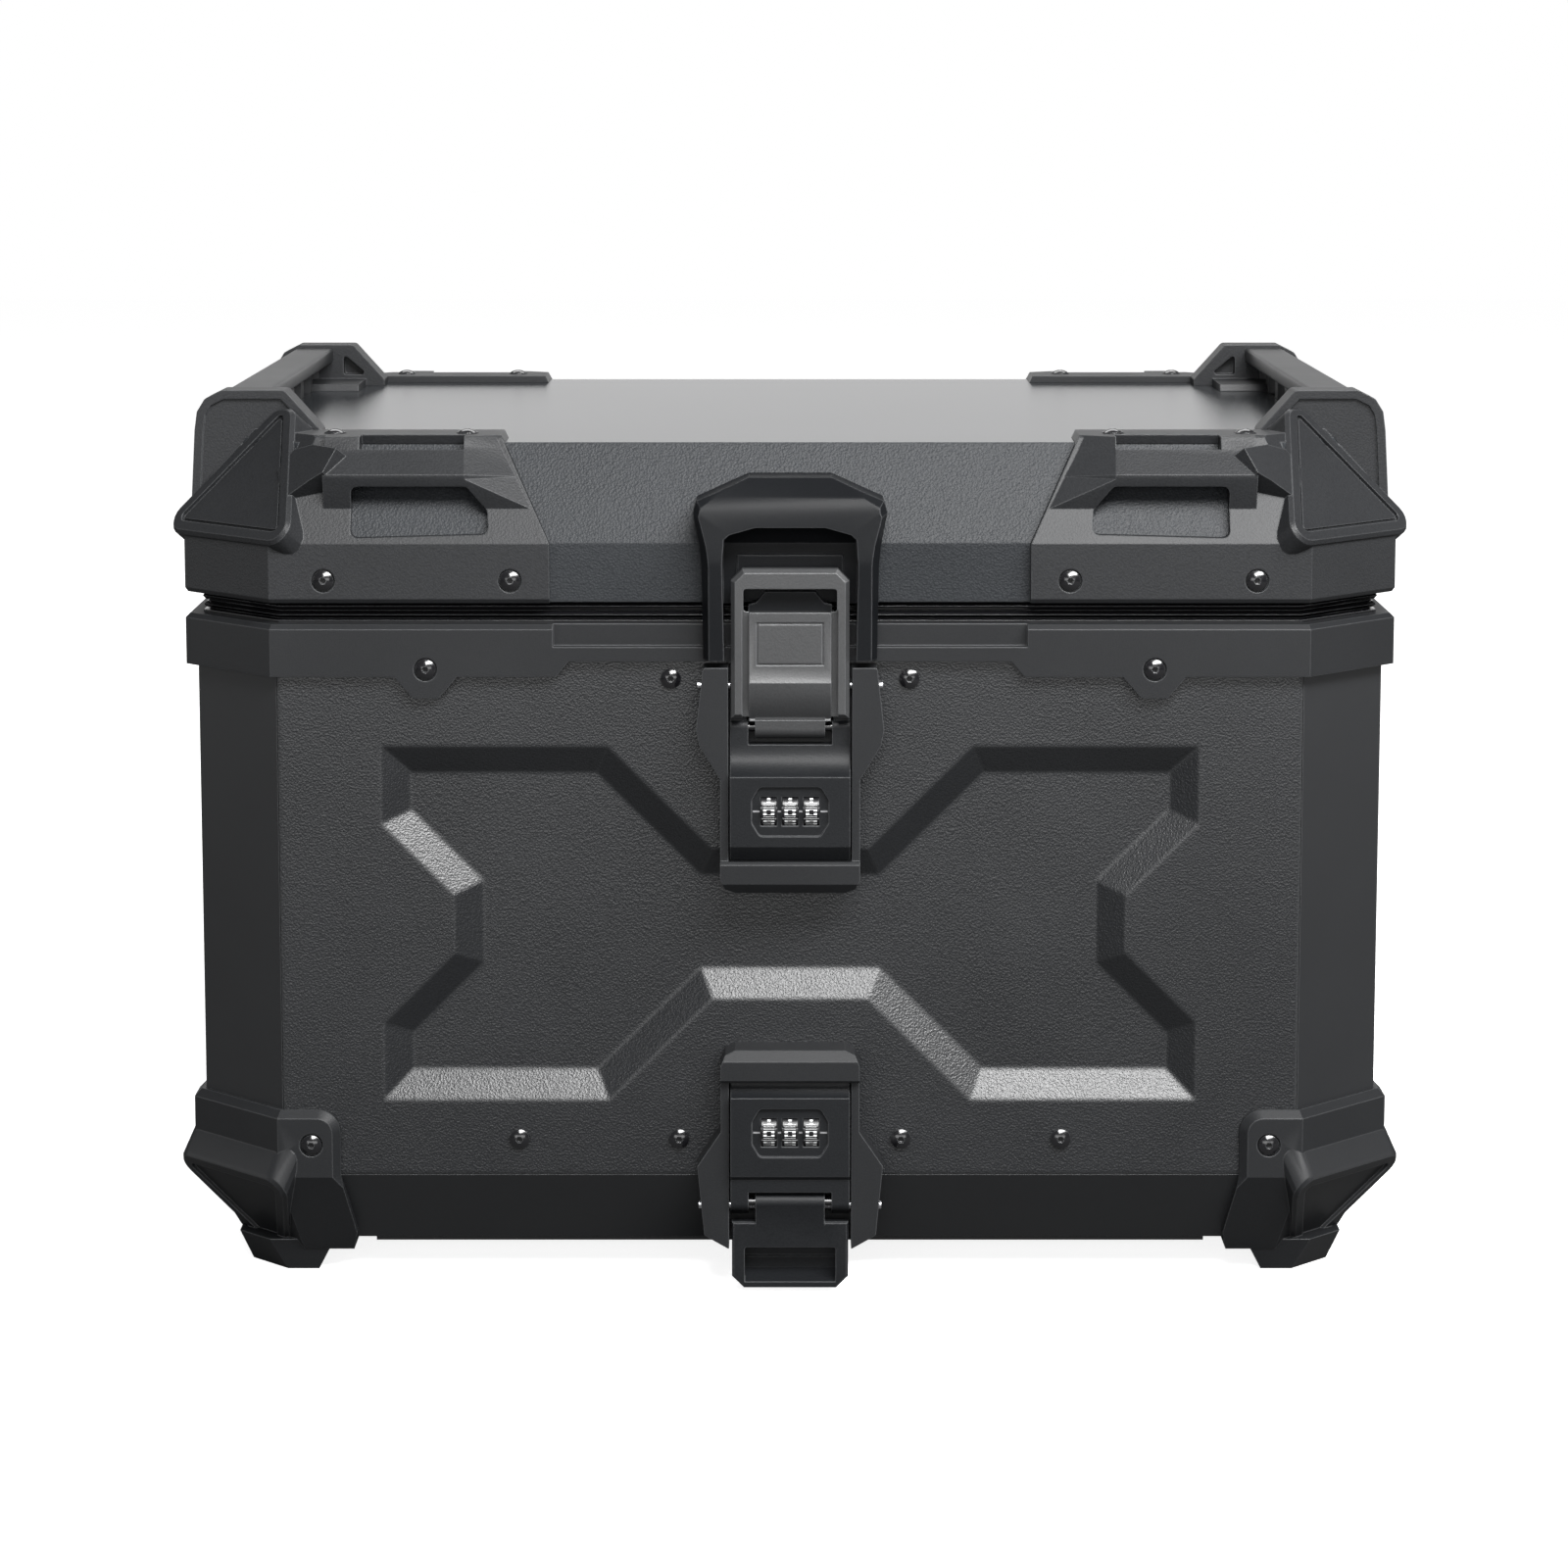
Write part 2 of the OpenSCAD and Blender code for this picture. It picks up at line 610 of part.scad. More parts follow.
// Lock block with ears, dial window and wheel slots. Its world upper end has a cove:
// at the ears in the linked block, at the far end in the other
module lock_block(linked) {
    cove_r = 11;
    cove_c = [20.1, -5.7];
    far_r = 5;
    profile = linked ? concat(
        [[block_back, -block_l], [block_reach - 3.4, -block_l], [block_reach, -block_l + 5.3]],
        arc(cove_c, cove_r, 180 + 68, 180, 8), [[block_back, cove_c.y]]
    ) : concat(
        [[block_back, -block_l]], arc([block_reach, -block_l], far_r, 180, 90, 6),
        [[block_reach, -12.5], [hook_reach + ear_r, -11], [hook_reach + ear_r, -6.5], [block_back, -6.5]]);
    difference() {
        union() {
            across_front(-block_half, block_half) polygon(profile);
            for (side = [-1, 1]) scale([side, 1, 1]) ear(linked);
        }
        // Running bore or fixed bore for the ear pin
        cross_bar(linked ? pin_r : pin_r + run_gap, -block_half - 1, block_half + 1, pin_reach, 0);
        // Barrel-shaped dial window
        on_front() translate([0, dial_z, block_reach - 1.2]) linear_extrude(2)
            polygon(rounded(mirrored([[10.5, -8.6], [13.2, -4], [13.2, 4], [10.5, 8.6]]), 2, 3));
        for (k = [-1 : 1])
            cross_bar(wheel_r + 0.4, k * wheel_pitch - wheel_slot / 2, k * wheel_pitch + wheel_slot / 2,
                dial_reach, dial_z);
        cross_bar(pin_r, -block_half + 3, block_half - 3, dial_reach, dial_z);
        if (!linked) cross_bar(pin_r, -ear_in - 4, ear_in + 4, hook_reach, hook_pin_z);
    }
}
// One ear of the block, at positive x
module ear(linked) {
    cross_bar(ear_r, ear_in, block_half, pin_reach, 0);
    across_front(ear_in, block_half) polygon([
        [pin_reach - ear_r, -block_back - 9], [pin_reach + ear_r, -block_back - 9],
        [pin_reach + ear_r, 0], [pin_reach - ear_r, 0]]);
    if (linked) {
        // Arm up to the pivot in the cheeks
        cross_bar(ear_r - 0.1, ear_in + 0.6, block_half, pivot_reach, link_l);
        across_front(ear_in + 0.6, block_half) polygon([
            [pivot_reach - ear_r + 0.1, 0], [pivot_reach + 2.6, 0],
            [pivot_reach + 2.6, link_l], [pivot_reach - ear_r + 0.1, link_l]]);
    } else {
        cross_bar(ear_r, ear_in, block_half, hook_reach, hook_pin_z);
        across_front(ear_in, block_half) polygon([
            [pin_reach, -block_back - 9], [hook_reach + ear_r, -block_back - 9],
            [hook_reach + ear_r, hook_pin_z], [hook_reach, hook_pin_z + ear_r], [pin_reach, ear_r]]);
    }
}
module top_lock_block() at_top_latch() color(plastic) difference() {
    lock_block(true);
    cross_bar(pin_r + run_gap, ear_in, block_half + 1, pivot_reach, link_l);
    cross_bar(pin_r + run_gap, -block_half - 1, -ear_in, pivot_reach, link_l);
}
module bottom_lock_block() at_bottom_latch() color(plastic) lock_block(false);
module top_link_pin() at_top_latch() color(steel) cross_bar(pin_r, -block_half, block_half, pin_reach, 0);
module bottom_link_pin() at_bottom_latch() color(steel)
    cross_bar(pin_r, -ear_in - 4, ear_in + 4, hook_reach, hook_pin_z);
module dial_axle() cross_bar(pin_r, -block_half + 3, block_half - 3, dial_reach, dial_z);
module top_dial_axle() at_top_latch() color(steel) dial_axle();
module bottom_dial_axle() at_bottom_latch() color(steel) dial_axle();

// Number wheel with ten finger grooves
module wheel(k) difference() {
    x0 = k * wheel_pitch - wheel_w / 2;
    cross_bar(wheel_r, x0, x0 + wheel_w, dial_reach, dial_z);
    cross_bar(pin_r + run_gap, x0 - 1, x0 + wheel_w + 1, dial_reach, dial_z);
    for (i = [0 : 9])
        cross_bar(0.5, x0 - 1, x0 + wheel_w + 1,
            dial_reach + (wheel_r + 0.2) * cos(36 * i + 18), dial_z + (wheel_r + 0.2) * sin(36 * i + 18));
}
module top_left_wheel() at_top_latch() color(plastic) wheel(-1);
module top_middle_wheel() at_top_latch() color(plastic) wheel(0);
module top_right_wheel() at_top_latch() color(plastic) wheel(1);
module bottom_left_wheel() at_bottom_latch() color(plastic) wheel(-1);
module bottom_middle_wheel() at_bottom_latch() color(plastic) wheel(0);
module bottom_right_wheel() at_bottom_latch() color(plastic) wheel(1);

// Bail of the upper latch: frame, window, cover with a grooved field, rolled foot and tongue
bail_half = block_half - 0.4;
bail_back = 8.4;
bail_front = 14.6;
bail_foot = 4.2;
bail_top = 55.5;
bail_cut = 4;
rail_in = 16.4;
bail_win_low = 40.4;
bail_win_high = 48.8;
field_low = 19.9;
field_sunk = 1.6;
tongue_half = ear_in - 2.4;
tongue_r = 3.9;
module top_bail() at_top_latch() color(plastic) difference() {
    roll_half = ear_in - 0.4;
    union() {
        difference() {
            on_front() translate([0, 0, bail_back]) bevelled([
                [-bail_half, bail_foot], [bail_half, bail_foot],
                [bail_half, bail_top - bail_cut], [bail_half - bail_cut, bail_top],
                [-bail_half + bail_cut, bail_top], [-bail_half, bail_top - bail_cut]],
                bail_front - bail_back, 1.4);
            on_front() linear_extrude(40) polygon(rounded(
                mirrored([[16, bail_win_low], [16, bail_win_high]]), 1, 3));
            on_front() translate([0, 0, bail_front - field_sunk]) linear_extrude(10)
                polygon(mirrored([[rail_in, 0], [rail_in, bail_win_low + 1]]));
            // Deep grooves beside the field and the roll
            for (side = [-1, 1]) on_front() translate([side * (rail_in + roll_half) / 2, 0, bail_back + 1.6])
                linear_extrude(10) translate([-(rail_in - roll_half) / 2, 0])
                    square([rail_in - roll_half, bail_win_low + 1]);
            // Below the field the frame is open for the roll
            on_front() linear_extrude(40) polygon(mirrored([[roll_half, 0], [roll_half, field_low]]));
        }
        across_front(-roll_half, roll_half) polygon(concat(
            [[bail_back, field_low + 1], [bail_back, 6], [pin_reach, 3.6], [10.2, 2.6]],
            [for (t = [0 : 4]) [bail_front - 0.2 - 4.6 * pow(1 - t / 4, 2), 3.4 + 13 * t / 4]],
            [[bail_front - field_sunk, field_low], [bail_front - field_sunk, field_low + 1]]));
        across_front(-tongue_half, tongue_half) polygon([
            [pin_reach - tongue_r, 0], [pin_reach + tongue_r, 0], [10.2, 5], [bail_back, 8], [pin_reach, 6]]);
        cross_bar(tongue_r, -tongue_half, tongue_half, pin_reach, 0);
    }
    cross_bar(pin_r + run_gap, -30, 30, pin_reach, 0);
    // Groove round the raised field
    on_front() translate([0, 0, bail_front - field_sunk - 0.6]) linear_extrude(2) difference() {
        polygon(mirrored([[11.6, 22.2], [11.6, 37.1]]));
        polygon(mirrored([[10.8, 23], [10.8, 36.3]]));
    }
}

// Prism over a plan with its outer edge bevelled
module bevelled(pts, h, b) skin([ring(pts, 0), ring(pts, h - b), ring(inset(pts, b), h)]);

// Hook of the lower latch: tongue, windowed plate and inturned slanting lip
hook_low = 27.8;
hook_back = 9.5;
hook_front = 12.9;
hook_tip = 3.5;
module bottom_hook() at_bottom_latch() color(plastic) difference() {
    union() {
        difference() {
            on_front() translate([0, 0, hook_back]) bevelled([
                [-bail_half, 4.4], [bail_half, 4.4],
                [bail_half, hook_low - bail_cut], [bail_half - bail_cut, hook_low],
                [-bail_half + bail_cut, hook_low], [-bail_half, hook_low - bail_cut]],
                hook_front - hook_back, 0.6);
            on_front() linear_extrude(40) polygon(rounded(mirrored([[15.8, 13.5], [15.8, 26.6]]), 0.8, 3));
        }
        across_front(-tongue_half, tongue_half) polygon([
            [hook_reach - ear_r, hook_pin_z], [hook_reach + ear_r, hook_pin_z],
            [hook_front, 6], [hook_back, 6]]);
        cross_bar(ear_r, -tongue_half, tongue_half, hook_reach, hook_pin_z);
        across_front(-bail_half + bail_cut, bail_half - bail_cut) polygon([
            [hook_tip, 22.3], [hook_front, 25.8], [hook_front, hook_low],
            [hook_front - 1.9, hook_low], [hook_tip, 24.6]]);
    }
    cross_bar(pin_r + run_gap, -30, 30, hook_reach, hook_pin_z);
}

// Plates inside the front wall that the latch screws pull against
back_plate_margin = 9;
module latch_back_plates() seat() color(black_steel) {
    inner = sheet * 2 + seat_gap * 2;
    lower_row = [front_row[1], front_row[2]];
    difference() {
        union() {
            back_plate(latch_row, sheet);
            back_plate(lower_row, inner);
        }
        on_row(0, concat(latch_row, lower_row)) shank_hole(12);
    }
}
// Strip behind a row of two screws, its outer face at depth
module back_plate(row, depth) {
    half = row[1].x + back_plate_margin;
    translate([-half, -half_d + depth, row[0].y - back_plate_margin + 1])
        cube([2 * half, 2, 2 * back_plate_margin - 2]);
}

// ---------- lid ----------

module lid_skin(d, z0, z1_extra) skin([
    ring(case_outline(d), z0), ring(case_outline(d), z_skirt), ring(case_outline(d + slope_in), z_top + z1_extra)
]);
module lid_shell() seat() color(grained) difference() {
    lid_skin(0, z_lid, 0);
    difference() {
        lid_skin(sheet, z_lid - 1, -sheet);
        // Inturned hem that rests on the seal
        translate([0, 0, z_lid - 2]) linear_extrude(2 + sheet) difference() {
            polygon(case_outline(-10));
            polygon(case_outline(9));
        }
    }
    lid_screws() shank_hole(8);
    on_row(180, lid_hinge_row) shank_hole(8);
}

// Screw places of one lid guard, drawn for the front left corner
guard_front_x = [-flat_w + 17, -flat_w + 81];
guard_side_y = flat_d - 42;
guard_skirt_z = z_lid + 7.8;
flange_in = slope_in + 5;
guard_top_x = [-flat_w + 19, -flat_w + 65];
flange_t = 2.8;
module lid_screws() for (side = [-1, 1], end = [-1, 1]) at_corner(side, end) guard_screw_places() children();
module guard_screw_places() {
    on_wall(0) for (x = guard_front_x) translate([x, guard_skirt_z, 0]) children();
    on_wall(270) translate([guard_side_y, guard_skirt_z, 0]) children();
    for (x = guard_top_x) translate([x, -half_d + flange_in, z_top]) children();
}

// Lid guard: skirt wrap, sloping wall, top flange, grab bar, rail holder and corner bumper
lean = slope_in / slope_h;
lid_bumper_rise = 43.6;
lid_bumper_lean = 29;
lid_bumper_out = 6;
lid_bumper_z = z_skirt + 0.5;
module lid_guard() difference() {
    union() {
        difference() {
            intersection() {
                guard_wrap(0);
                union() {
                    intersection() {
                        guard_face();
                        translate([-half_w - 20, -half_d - 20, z_lid]) cube([half_w, 56, 80]);
                    }
                    guard_side_field(0);
                }
            }
            bumper_room();
        }
        grab_bar();
        on_corner(lid_bumper_z, lid_bumper_out, lid_bumper_rise, lid_bumper_lean, true) {
            bumper(36.8, 4.6, norm([lid_bumper_rise, lid_bumper_lean]), 1);
            bumper_neck();
        }
        rail_holder();
    }
    strap_way();
    lid_skin(0, z_lid - 1, 0);
    guard_screw_seats();
}
// Space kept free of the wrap in front of the lid bumper's face
module bumper_room() on_corner(lid_bumper_z, lid_bumper_out, lid_bumper_rise, lid_bumper_lean, true)
    translate([-45, 1, -bumper_sunk]) cube([90, 80, 40]);
// Outer envelope of the four guards
module guard_wrap(gap) skin([
    ring(case_outline(-proud + 1 - gap), z_lid), ring(case_outline(-proud - gap), z_lid + 1.5),
    ring(case_outline(-proud - gap), z_skirt),
    ring(case_outline(slope_in - proud - gap), z_top + flange_t - 0.8 + gap),
    ring(case_outline(slope_in - proud + 1.5 - gap), z_top + flange_t + gap)
]);
// Region of the wing along the side wall, with its slanted inner end
module guard_side_field(gap) intersection() {
    translate([-half_w - 20, -half_d - 20, z_lid - 1]) cube([56, half_d, 81]);
    on_wall(270) translate([0, 0, -80]) linear_extrude(100) polygon([
        [flat_d - guard_side_run - gap, z_lid - 1], [flat_d - guard_side_run - gap, z_skirt],
        [flat_d - guard_side_run + 14 - gap, z_top + 10], [half_d + 40, z_top + 10],
        [half_d + 40, z_lid - 1]]);
}
// Region of the wing along the front wall, with its slanted inner end
guard_slant = 18;
module guard_face() translate([0, -half_d + 80, 0]) rotate([90, 0, 0]) linear_extrude(200) polygon([
    [-half_w - 40, z_lid - 1], [guard_edge(z_lid), z_lid - 1], [guard_edge(z_skirt), z_skirt],
    [guard_edge(z_top + 4), z_top + 4], [guard_edge(z_top + 4), z_top + 10], [-half_w - 40, z_top + 10]]);
function guard_edge(z) = -flat_w + guard_run - guard_slant * max(0, z - z_skirt) / (slope_h + 4);

// Arm from the bumper to the grab bar, in the bumper's own frame
module bumper_neck() translate([0, 0, -bumper_t]) skin([for (h = [0, bumper_t - 0.2]) ring([
    [22, 17], [31, 25.3], [36, 28.9], [37, 38.6], [24, 39.1], [15.7, 36.5], [12, 28]], h)]);

// Grab bar in front of the sloping wall, fading into the wall at the guard's inner end
bar_x0 = -flat_w + 17;
bar_x1 = -flat_w + 67;
bar_section = [
    [proud, -2], [proud, 0], [-1.7, 11], [1.8, 22], [1.8, 23.5], [-5, 31.3],
    [-7.5, slope_h + flange_t], [-30, slope_h + flange_t], [-30, -2]];
function wall_reach(h) = proud - max(0, h) * lean;
module grab_bar() {
    function station(p, fade) =
        let (x = fade > 0 ? guard_edge(z_skirt + p.y) : bar_x1 - p.y * 0.06)
        [x, -half_d - (fade > 0 ? min(p.x, wall_reach(p.y)) : p.x), z_skirt + p.y];
    skin([
        [for (p = bar_section) station(p, 1)], [for (p = bar_section) station(p, 0)],
        [for (p = bar_section) [bar_x0, -half_d - p.x, z_skirt + p.y]]]);
}
// Strap window below the bar, passage behind it and slot above it
module strap_way() {
    on_front() translate([0, 0, -20]) linear_extrude(60) polygon(rounded([
        [bar_x0 + 9.3, z_skirt + 1.8], [bar_x1 + 6.7, z_skirt + 3], [bar_x1 + 6.1, z_skirt + 10.9],
        [bar_x1 - 0.8, z_skirt + 19.4], [bar_x0 + 9.5, z_skirt + 19.4]], 2.4, 3));
    across_front(bar_x0 + 12, bar_x1 - 2) polygon([
        [-18 * lean - 3, z_skirt + 17], [-18 * lean + 5, z_skirt + 17], [-31 * lean + 5, z_skirt + 31],
        [proud, z_skirt + 32.5], [proud, z_top + 9], [-14, z_top + 9], [-17, z_skirt + 31]]);
}
module guard_screw_seats() {
    on_wall(0) for (x = guard_front_x) translate([x, guard_skirt_z, 0]) screw_seat();
    on_wall(270) translate([guard_side_y, guard_skirt_z, 0]) screw_seat();
    for (x = guard_top_x) translate([x, -half_d + flange_in, z_top]) {
        cylinder(d = shank_d + 0.3, h = 20, center = true);
        translate([0, 0, flange_t - 1]) cylinder(d = head_d + 1, h = 5);
    }
}
// Upright plate that carries one end of a grab rail
holder_front = 36.5;
holder_sharp = [
    [-half_w - 3, z_skirt - 4], [-half_w + 43.5, z_skirt - 4], [-half_w + 43.5, z_top + 2.6],
    [-half_w + 31, z_rail], [-half_w + 9, z_rail], [-half_w + 3, z_rail - 3],
    [-half_w + 0.2, z_rail - 7.5], [-half_w - 0.7, z_rail - 14]];
module rail_holder() {
    module on_plate(depth) translate([0, -half_d + holder_front + depth, 0]) rotate([90, 0, 0]) children();
    difference() {
        on_plate(holder_t) linear_extrude(holder_t) polygon(rounded(holder_sharp, 2, 4));
        // Recessed field on the outer face
        on_plate(1.2) linear_extrude(5) polygon(rounded(inset(holder_sharp, 3), 1, 3));
        // Two triangular pockets on the face towards the other holder
        on_plate(holder_t + 1) linear_extrude(6) {
            polygon(rounded([
                [-half_w + 27, z_rail - 12], [-half_w + 37, z_top + 4.5], [-half_w + 27, z_rail - 3.5]], 1, 3));
            polygon(rounded([
                [-half_w + 5, z_rail - 9], [-half_w + 16, z_rail - 9], [-half_w + 10, z_top + 4]], 1, 3));
        }
    }
}
module front_left_lid_guard() seat() color(plastic) at_corner(-1, -1) lid_guard();
module front_right_lid_guard() seat() color(plastic) at_corner(1, -1) lid_guard();
module rear_left_lid_guard() seat() color(plastic) at_corner(-1, 1) lid_guard();
module rear_right_lid_guard() seat() color(plastic) at_corner(1, 1) lid_guard();

// Grab rail with a scalloped web below it, spanning between two holders
rail_x = -half_w + 7.4;
module rail() {
    y0 = -half_d + holder_front + holder_t + seat_gap / 2;
    span = 2 * (half_d - holder_front - holder_t) - seat_gap;
    top = z_rail - 1.4;
    web_x = rail_x + 1;
    web_w = 9;
    scallops = 7;
    step = span / scallops;
    scallop_r = step * 0.42;
    translate([0, y0, 0]) {
        rotate([90, 0, 180]) mirror([1, 0, 0]) linear_extrude(span) polygon(rounded([
            [rail_x, top - rail_t], [rail_x + rail_w, top - rail_t],
            [rail_x + rail_w, top], [rail_x, top]], 1.6, 3));
        difference() {
            translate([web_x, 0, z_top - 3]) cube([web_w, span, top - rail_t - z_top + 3 + nudge]);
            for (k = [0 : scallops - 1])
                translate([web_x + 2.6 + scallop_r, (k + 0.5) * step, z_top - 10]) cylinder(r = scallop_r, h = 60);
        }
    }
}
module rail_seated() difference() {
    rail();
    lid_skin(0, z_lid - 1, 0);
    for (end = [0, 1]) mirror([0, end, 0]) intersection() {
        guard_wrap(seat_gap);
        guard_side_field(seat_gap);
    }
}
module left_rail() seat() color(satin) rail_seated();
module right_rail() seat() color(satin) mirror([1, 0, 0]) rail_seated();

// Hood on the lid that shrouds the upper latch's bail
hood_low = z_rim + 7;
hood_top = z_top - 10;
hood_reach = 16;
function on_hood(pts) = [for (p = pts) [p.x, hood_top + p.y]];
module latch_hood() seat() color(plastic) {
    low = hood_low - hood_top;
    back = mirrored(on_hood([
        [29.7, low], [30.3, -29.4], [31, -22.4], [33.1, -11.7], [31.9, -7.6], [14.2, 0]]));
    front = mirrored(on_hood([
        [27, low], [27.6, -29.4], [28.3, -22.4], [30.2, -13.4], [29.2, -11.7], [11.4, -5.6]]));
    arch = mirrored(on_hood([
        [22.3, low - 10], [23.2, -29.4], [22.6, -20.4], [20.6, -18.7], [11.9, -16.3]]));
    difference() {
        intersection() {
            on_front() translate([0, 0, -20]) skin([ring(back, 0), ring(back, 30), ring(front, 36.5)]);
            across_front(-40, 40) polygon([
                [proud + 1.2, hood_low - 1], [hood_reach - 1.4, hood_low - 1], [hood_reach, z_skirt - 4],
                [hood_reach - 2, hood_top - 11], [hood_reach - 4.5, hood_top - 6], [4, hood_top + 1],
                [-16, hood_top + 1], [-16, z_skirt], [-1, z_lid], [proud + 1.2, z_lid - 0.8]]);
        }
        // Arch, down to a thin liner on the lid
        difference() {
            on_front() translate([0, 0, -18]) linear_extrude(60) polygon(arch);
            lid_skin(-1.2, z_lid - 1, 0);
        }
        lid_skin(0, z_lid - 1, 0);
        // Room for the catch
        across_front(-catch_half - seat_gap, catch_half + seat_gap) polygon([
            [-2, z_lid - 1], [catch_t + seat_gap, z_lid - 1], [catch_t + seat_gap, z_skirt - 3.8],
            [-2, z_skirt - 3.8]]);
    }
}

// Catch on the lid skirt behind the bail's window
catch_half = 18;
catch_t = 2.4;
module lid_catch() seat() color(plastic) {
    tab_reach = 8;
    tab_low = z_lid - 2.6;
    across_front(-catch_half, catch_half) polygon([
        [0, z_lid + 1], [catch_t, z_lid + 1], [catch_t, z_skirt - 4], [0, z_skirt - 4]]);
    intersection() {
        across_front(-catch_half, catch_half) polygon([
            [catch_t - nudge, z_lid + 1.6], [5, z_lid + 1.6], [5, tab_low], [tab_reach, tab_low],
            [tab_reach, z_lid + 4.5], [catch_t - nudge, z_lid + 4.5]]);
        on_front() linear_extrude(20) polygon(mirrored([
            [14.3, tab_low], [14.3, z_lid + 0.1], [11.6, z_lid + 0.8], [8.6, z_lid + 4.5]]));
    }
}

// ---------- hinges ----------

module at_hinges() for (side = [-1, 1]) translate([side * hinge_x, half_d, hinge_z]) children();
module barrel(x0, x1, r) translate([x0, hinge_out, 0]) rotate([0, 90, 0]) cylinder(r = r, h = x1 - x0);
leaf_t = 3;
knuckle = hinge_l / 3;
module body_hinge_leaves() seat() color(plastic) at_hinges() difference() {
    union() {
        translate([-hinge_l / 2, proud, -hinge_z + z_rim + 1]) cube([hinge_l, leaf_t - 1, hinge_z - z_rim - 7]);
        for (side = [-1, 1]) {
            x0 = side < 0 ? -hinge_l / 2 : knuckle / 2 + 0.25;
            barrel(x0, x0 + knuckle - 0.25, barrel_r);
            translate([x0, proud, -8]) cube([knuckle - 0.25, hinge_out - proud, 8]);
        }
    }
    barrel(-hinge_l, hinge_l, hinge_pin_r);
    for (side = [-1, 1]) translate([side * hinge_l * 0.36, proud, z_rim + 5 - hinge_z]) rotate([90, 0, 0])
        shank_hole(10);
}
module lid_hinge_leaves() seat() color(plastic) at_hinges() difference() {
    union() {
        translate([-hinge_l / 2, 0, z_lid + 0.5 - hinge_z]) cube([hinge_l, leaf_t, skirt_h - 2]);
        barrel(-knuckle / 2, knuckle / 2, barrel_r);
        translate([-knuckle / 2, 0, z_lid + 0.5 - hinge_z]) cube([knuckle, hinge_out, 3]);
    }
    barrel(-hinge_l, hinge_l, hinge_pin_r + run_gap);
    for (side = [-1, 1]) translate([side * hinge_l * 0.36, leaf_t, z_lid + 12 - hinge_z]) rotate([90, 0, 0])
        shank_hole(10);
}
module hinge_pins() seat() color(steel) at_hinges() barrel(-hinge_l / 2, hinge_l / 2, hinge_pin_r);
module body_hinge_screws() seat() color(black_steel) at_hinges() for (side = [-1, 1])
    translate([side * hinge_l * 0.36, proud + leaf_t - 1, z_rim + 5 - hinge_z]) rotate([-90, 0, 0]) screw(5);
module lid_hinge_screws() seat() color(black_steel) at_hinges() for (side = [-1, 1])
    translate([side * hinge_l * 0.36, leaf_t, z_lid + 12 - hinge_z]) rotate([-90, 0, 0]) screw(4);

// ---------- screws ----------

module panel_screws() seat() color(black_steel) {
    pan_screw_places() screw(screw_l);
    on_row(0, latch_row) screw(screw_l);
}
module rim_screws() seat() color(black_steel) {
    for (a = [0, 180]) on_row(a, rim_row, proud - seat_depth) screw(screw_l);
    for (a = [90, 270]) on_row(a, rim_side_row, proud - seat_depth) screw(screw_l);
}
module foot_guard_screws() seat() color(black_steel) foot_screw_places(proud - seat_depth) screw(screw_l);
module lid_guard_screws() seat() color(black_steel)
    for (side = [-1, 1], end = [-1, 1]) at_corner(side, end) {
        on_wall(0) for (x = guard_front_x) translate([x, guard_skirt_z, proud - seat_depth]) screw(screw_l);
        on_wall(270) translate([guard_side_y, guard_skirt_z, proud - seat_depth]) screw(screw_l);
        for (x = guard_top_x) translate([x, -half_d + flange_in, z_top + flange_t - 1]) screw(screw_l);
    }

bottom_pan();
dock_plate();
front_panel();
rear_panel();
left_panel();
right_panel();
front_left_pillar();
front_right_pillar();
rear_left_pillar();
rear_right_pillar();
top_rim();
rim_seal();
front_left_foot_guard();
front_right_foot_guard();
rear_left_foot_guard();
rear_right_foot_guard();
foot_guard_screws();
panel_screws();
rim_screws();
top_latch_base();
bottom_latch_base();
top_pivot_pin();
bottom_pivot_pin();
latch_back_plates();
body_hinge_leaves();
hinge_pins();
body_hinge_screws();
lid_shell();
front_left_lid_guard();
front_right_lid_guard();
rear_left_lid_guard();
rear_right_lid_guard();
left_rail();
right_rail();
latch_hood();
lid_catch();
lid_guard_screws();
lid_hinge_leaves();
lid_hinge_screws();
top_lock_block();
top_link_pin();
top_dial_axle();
top_bail();
top_left_wheel();
top_middle_wheel();
top_right_wheel();
bottom_lock_block();
bottom_link_pin();
bottom_dial_axle();
bottom_hook();
bottom_left_wheel();
bottom_middle_wheel();
bottom_right_wheel();
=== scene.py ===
# %% [markdown]
# # A motorcycle top case
# This lesson dresses a luggage case for a motorcycle: grained sheet panels, smooth moulded corners,
# rubber, steel pins and numbered lock wheels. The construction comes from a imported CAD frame, so every
# solid already stands where it belongs, in metres. What is left is light, camera, soft edges, finishes and
# the small printed things, such as the numbers on the lock wheels.

# %% Load the frame
import math

import bmesh
import bpy
from mathutils import Matrix, Vector


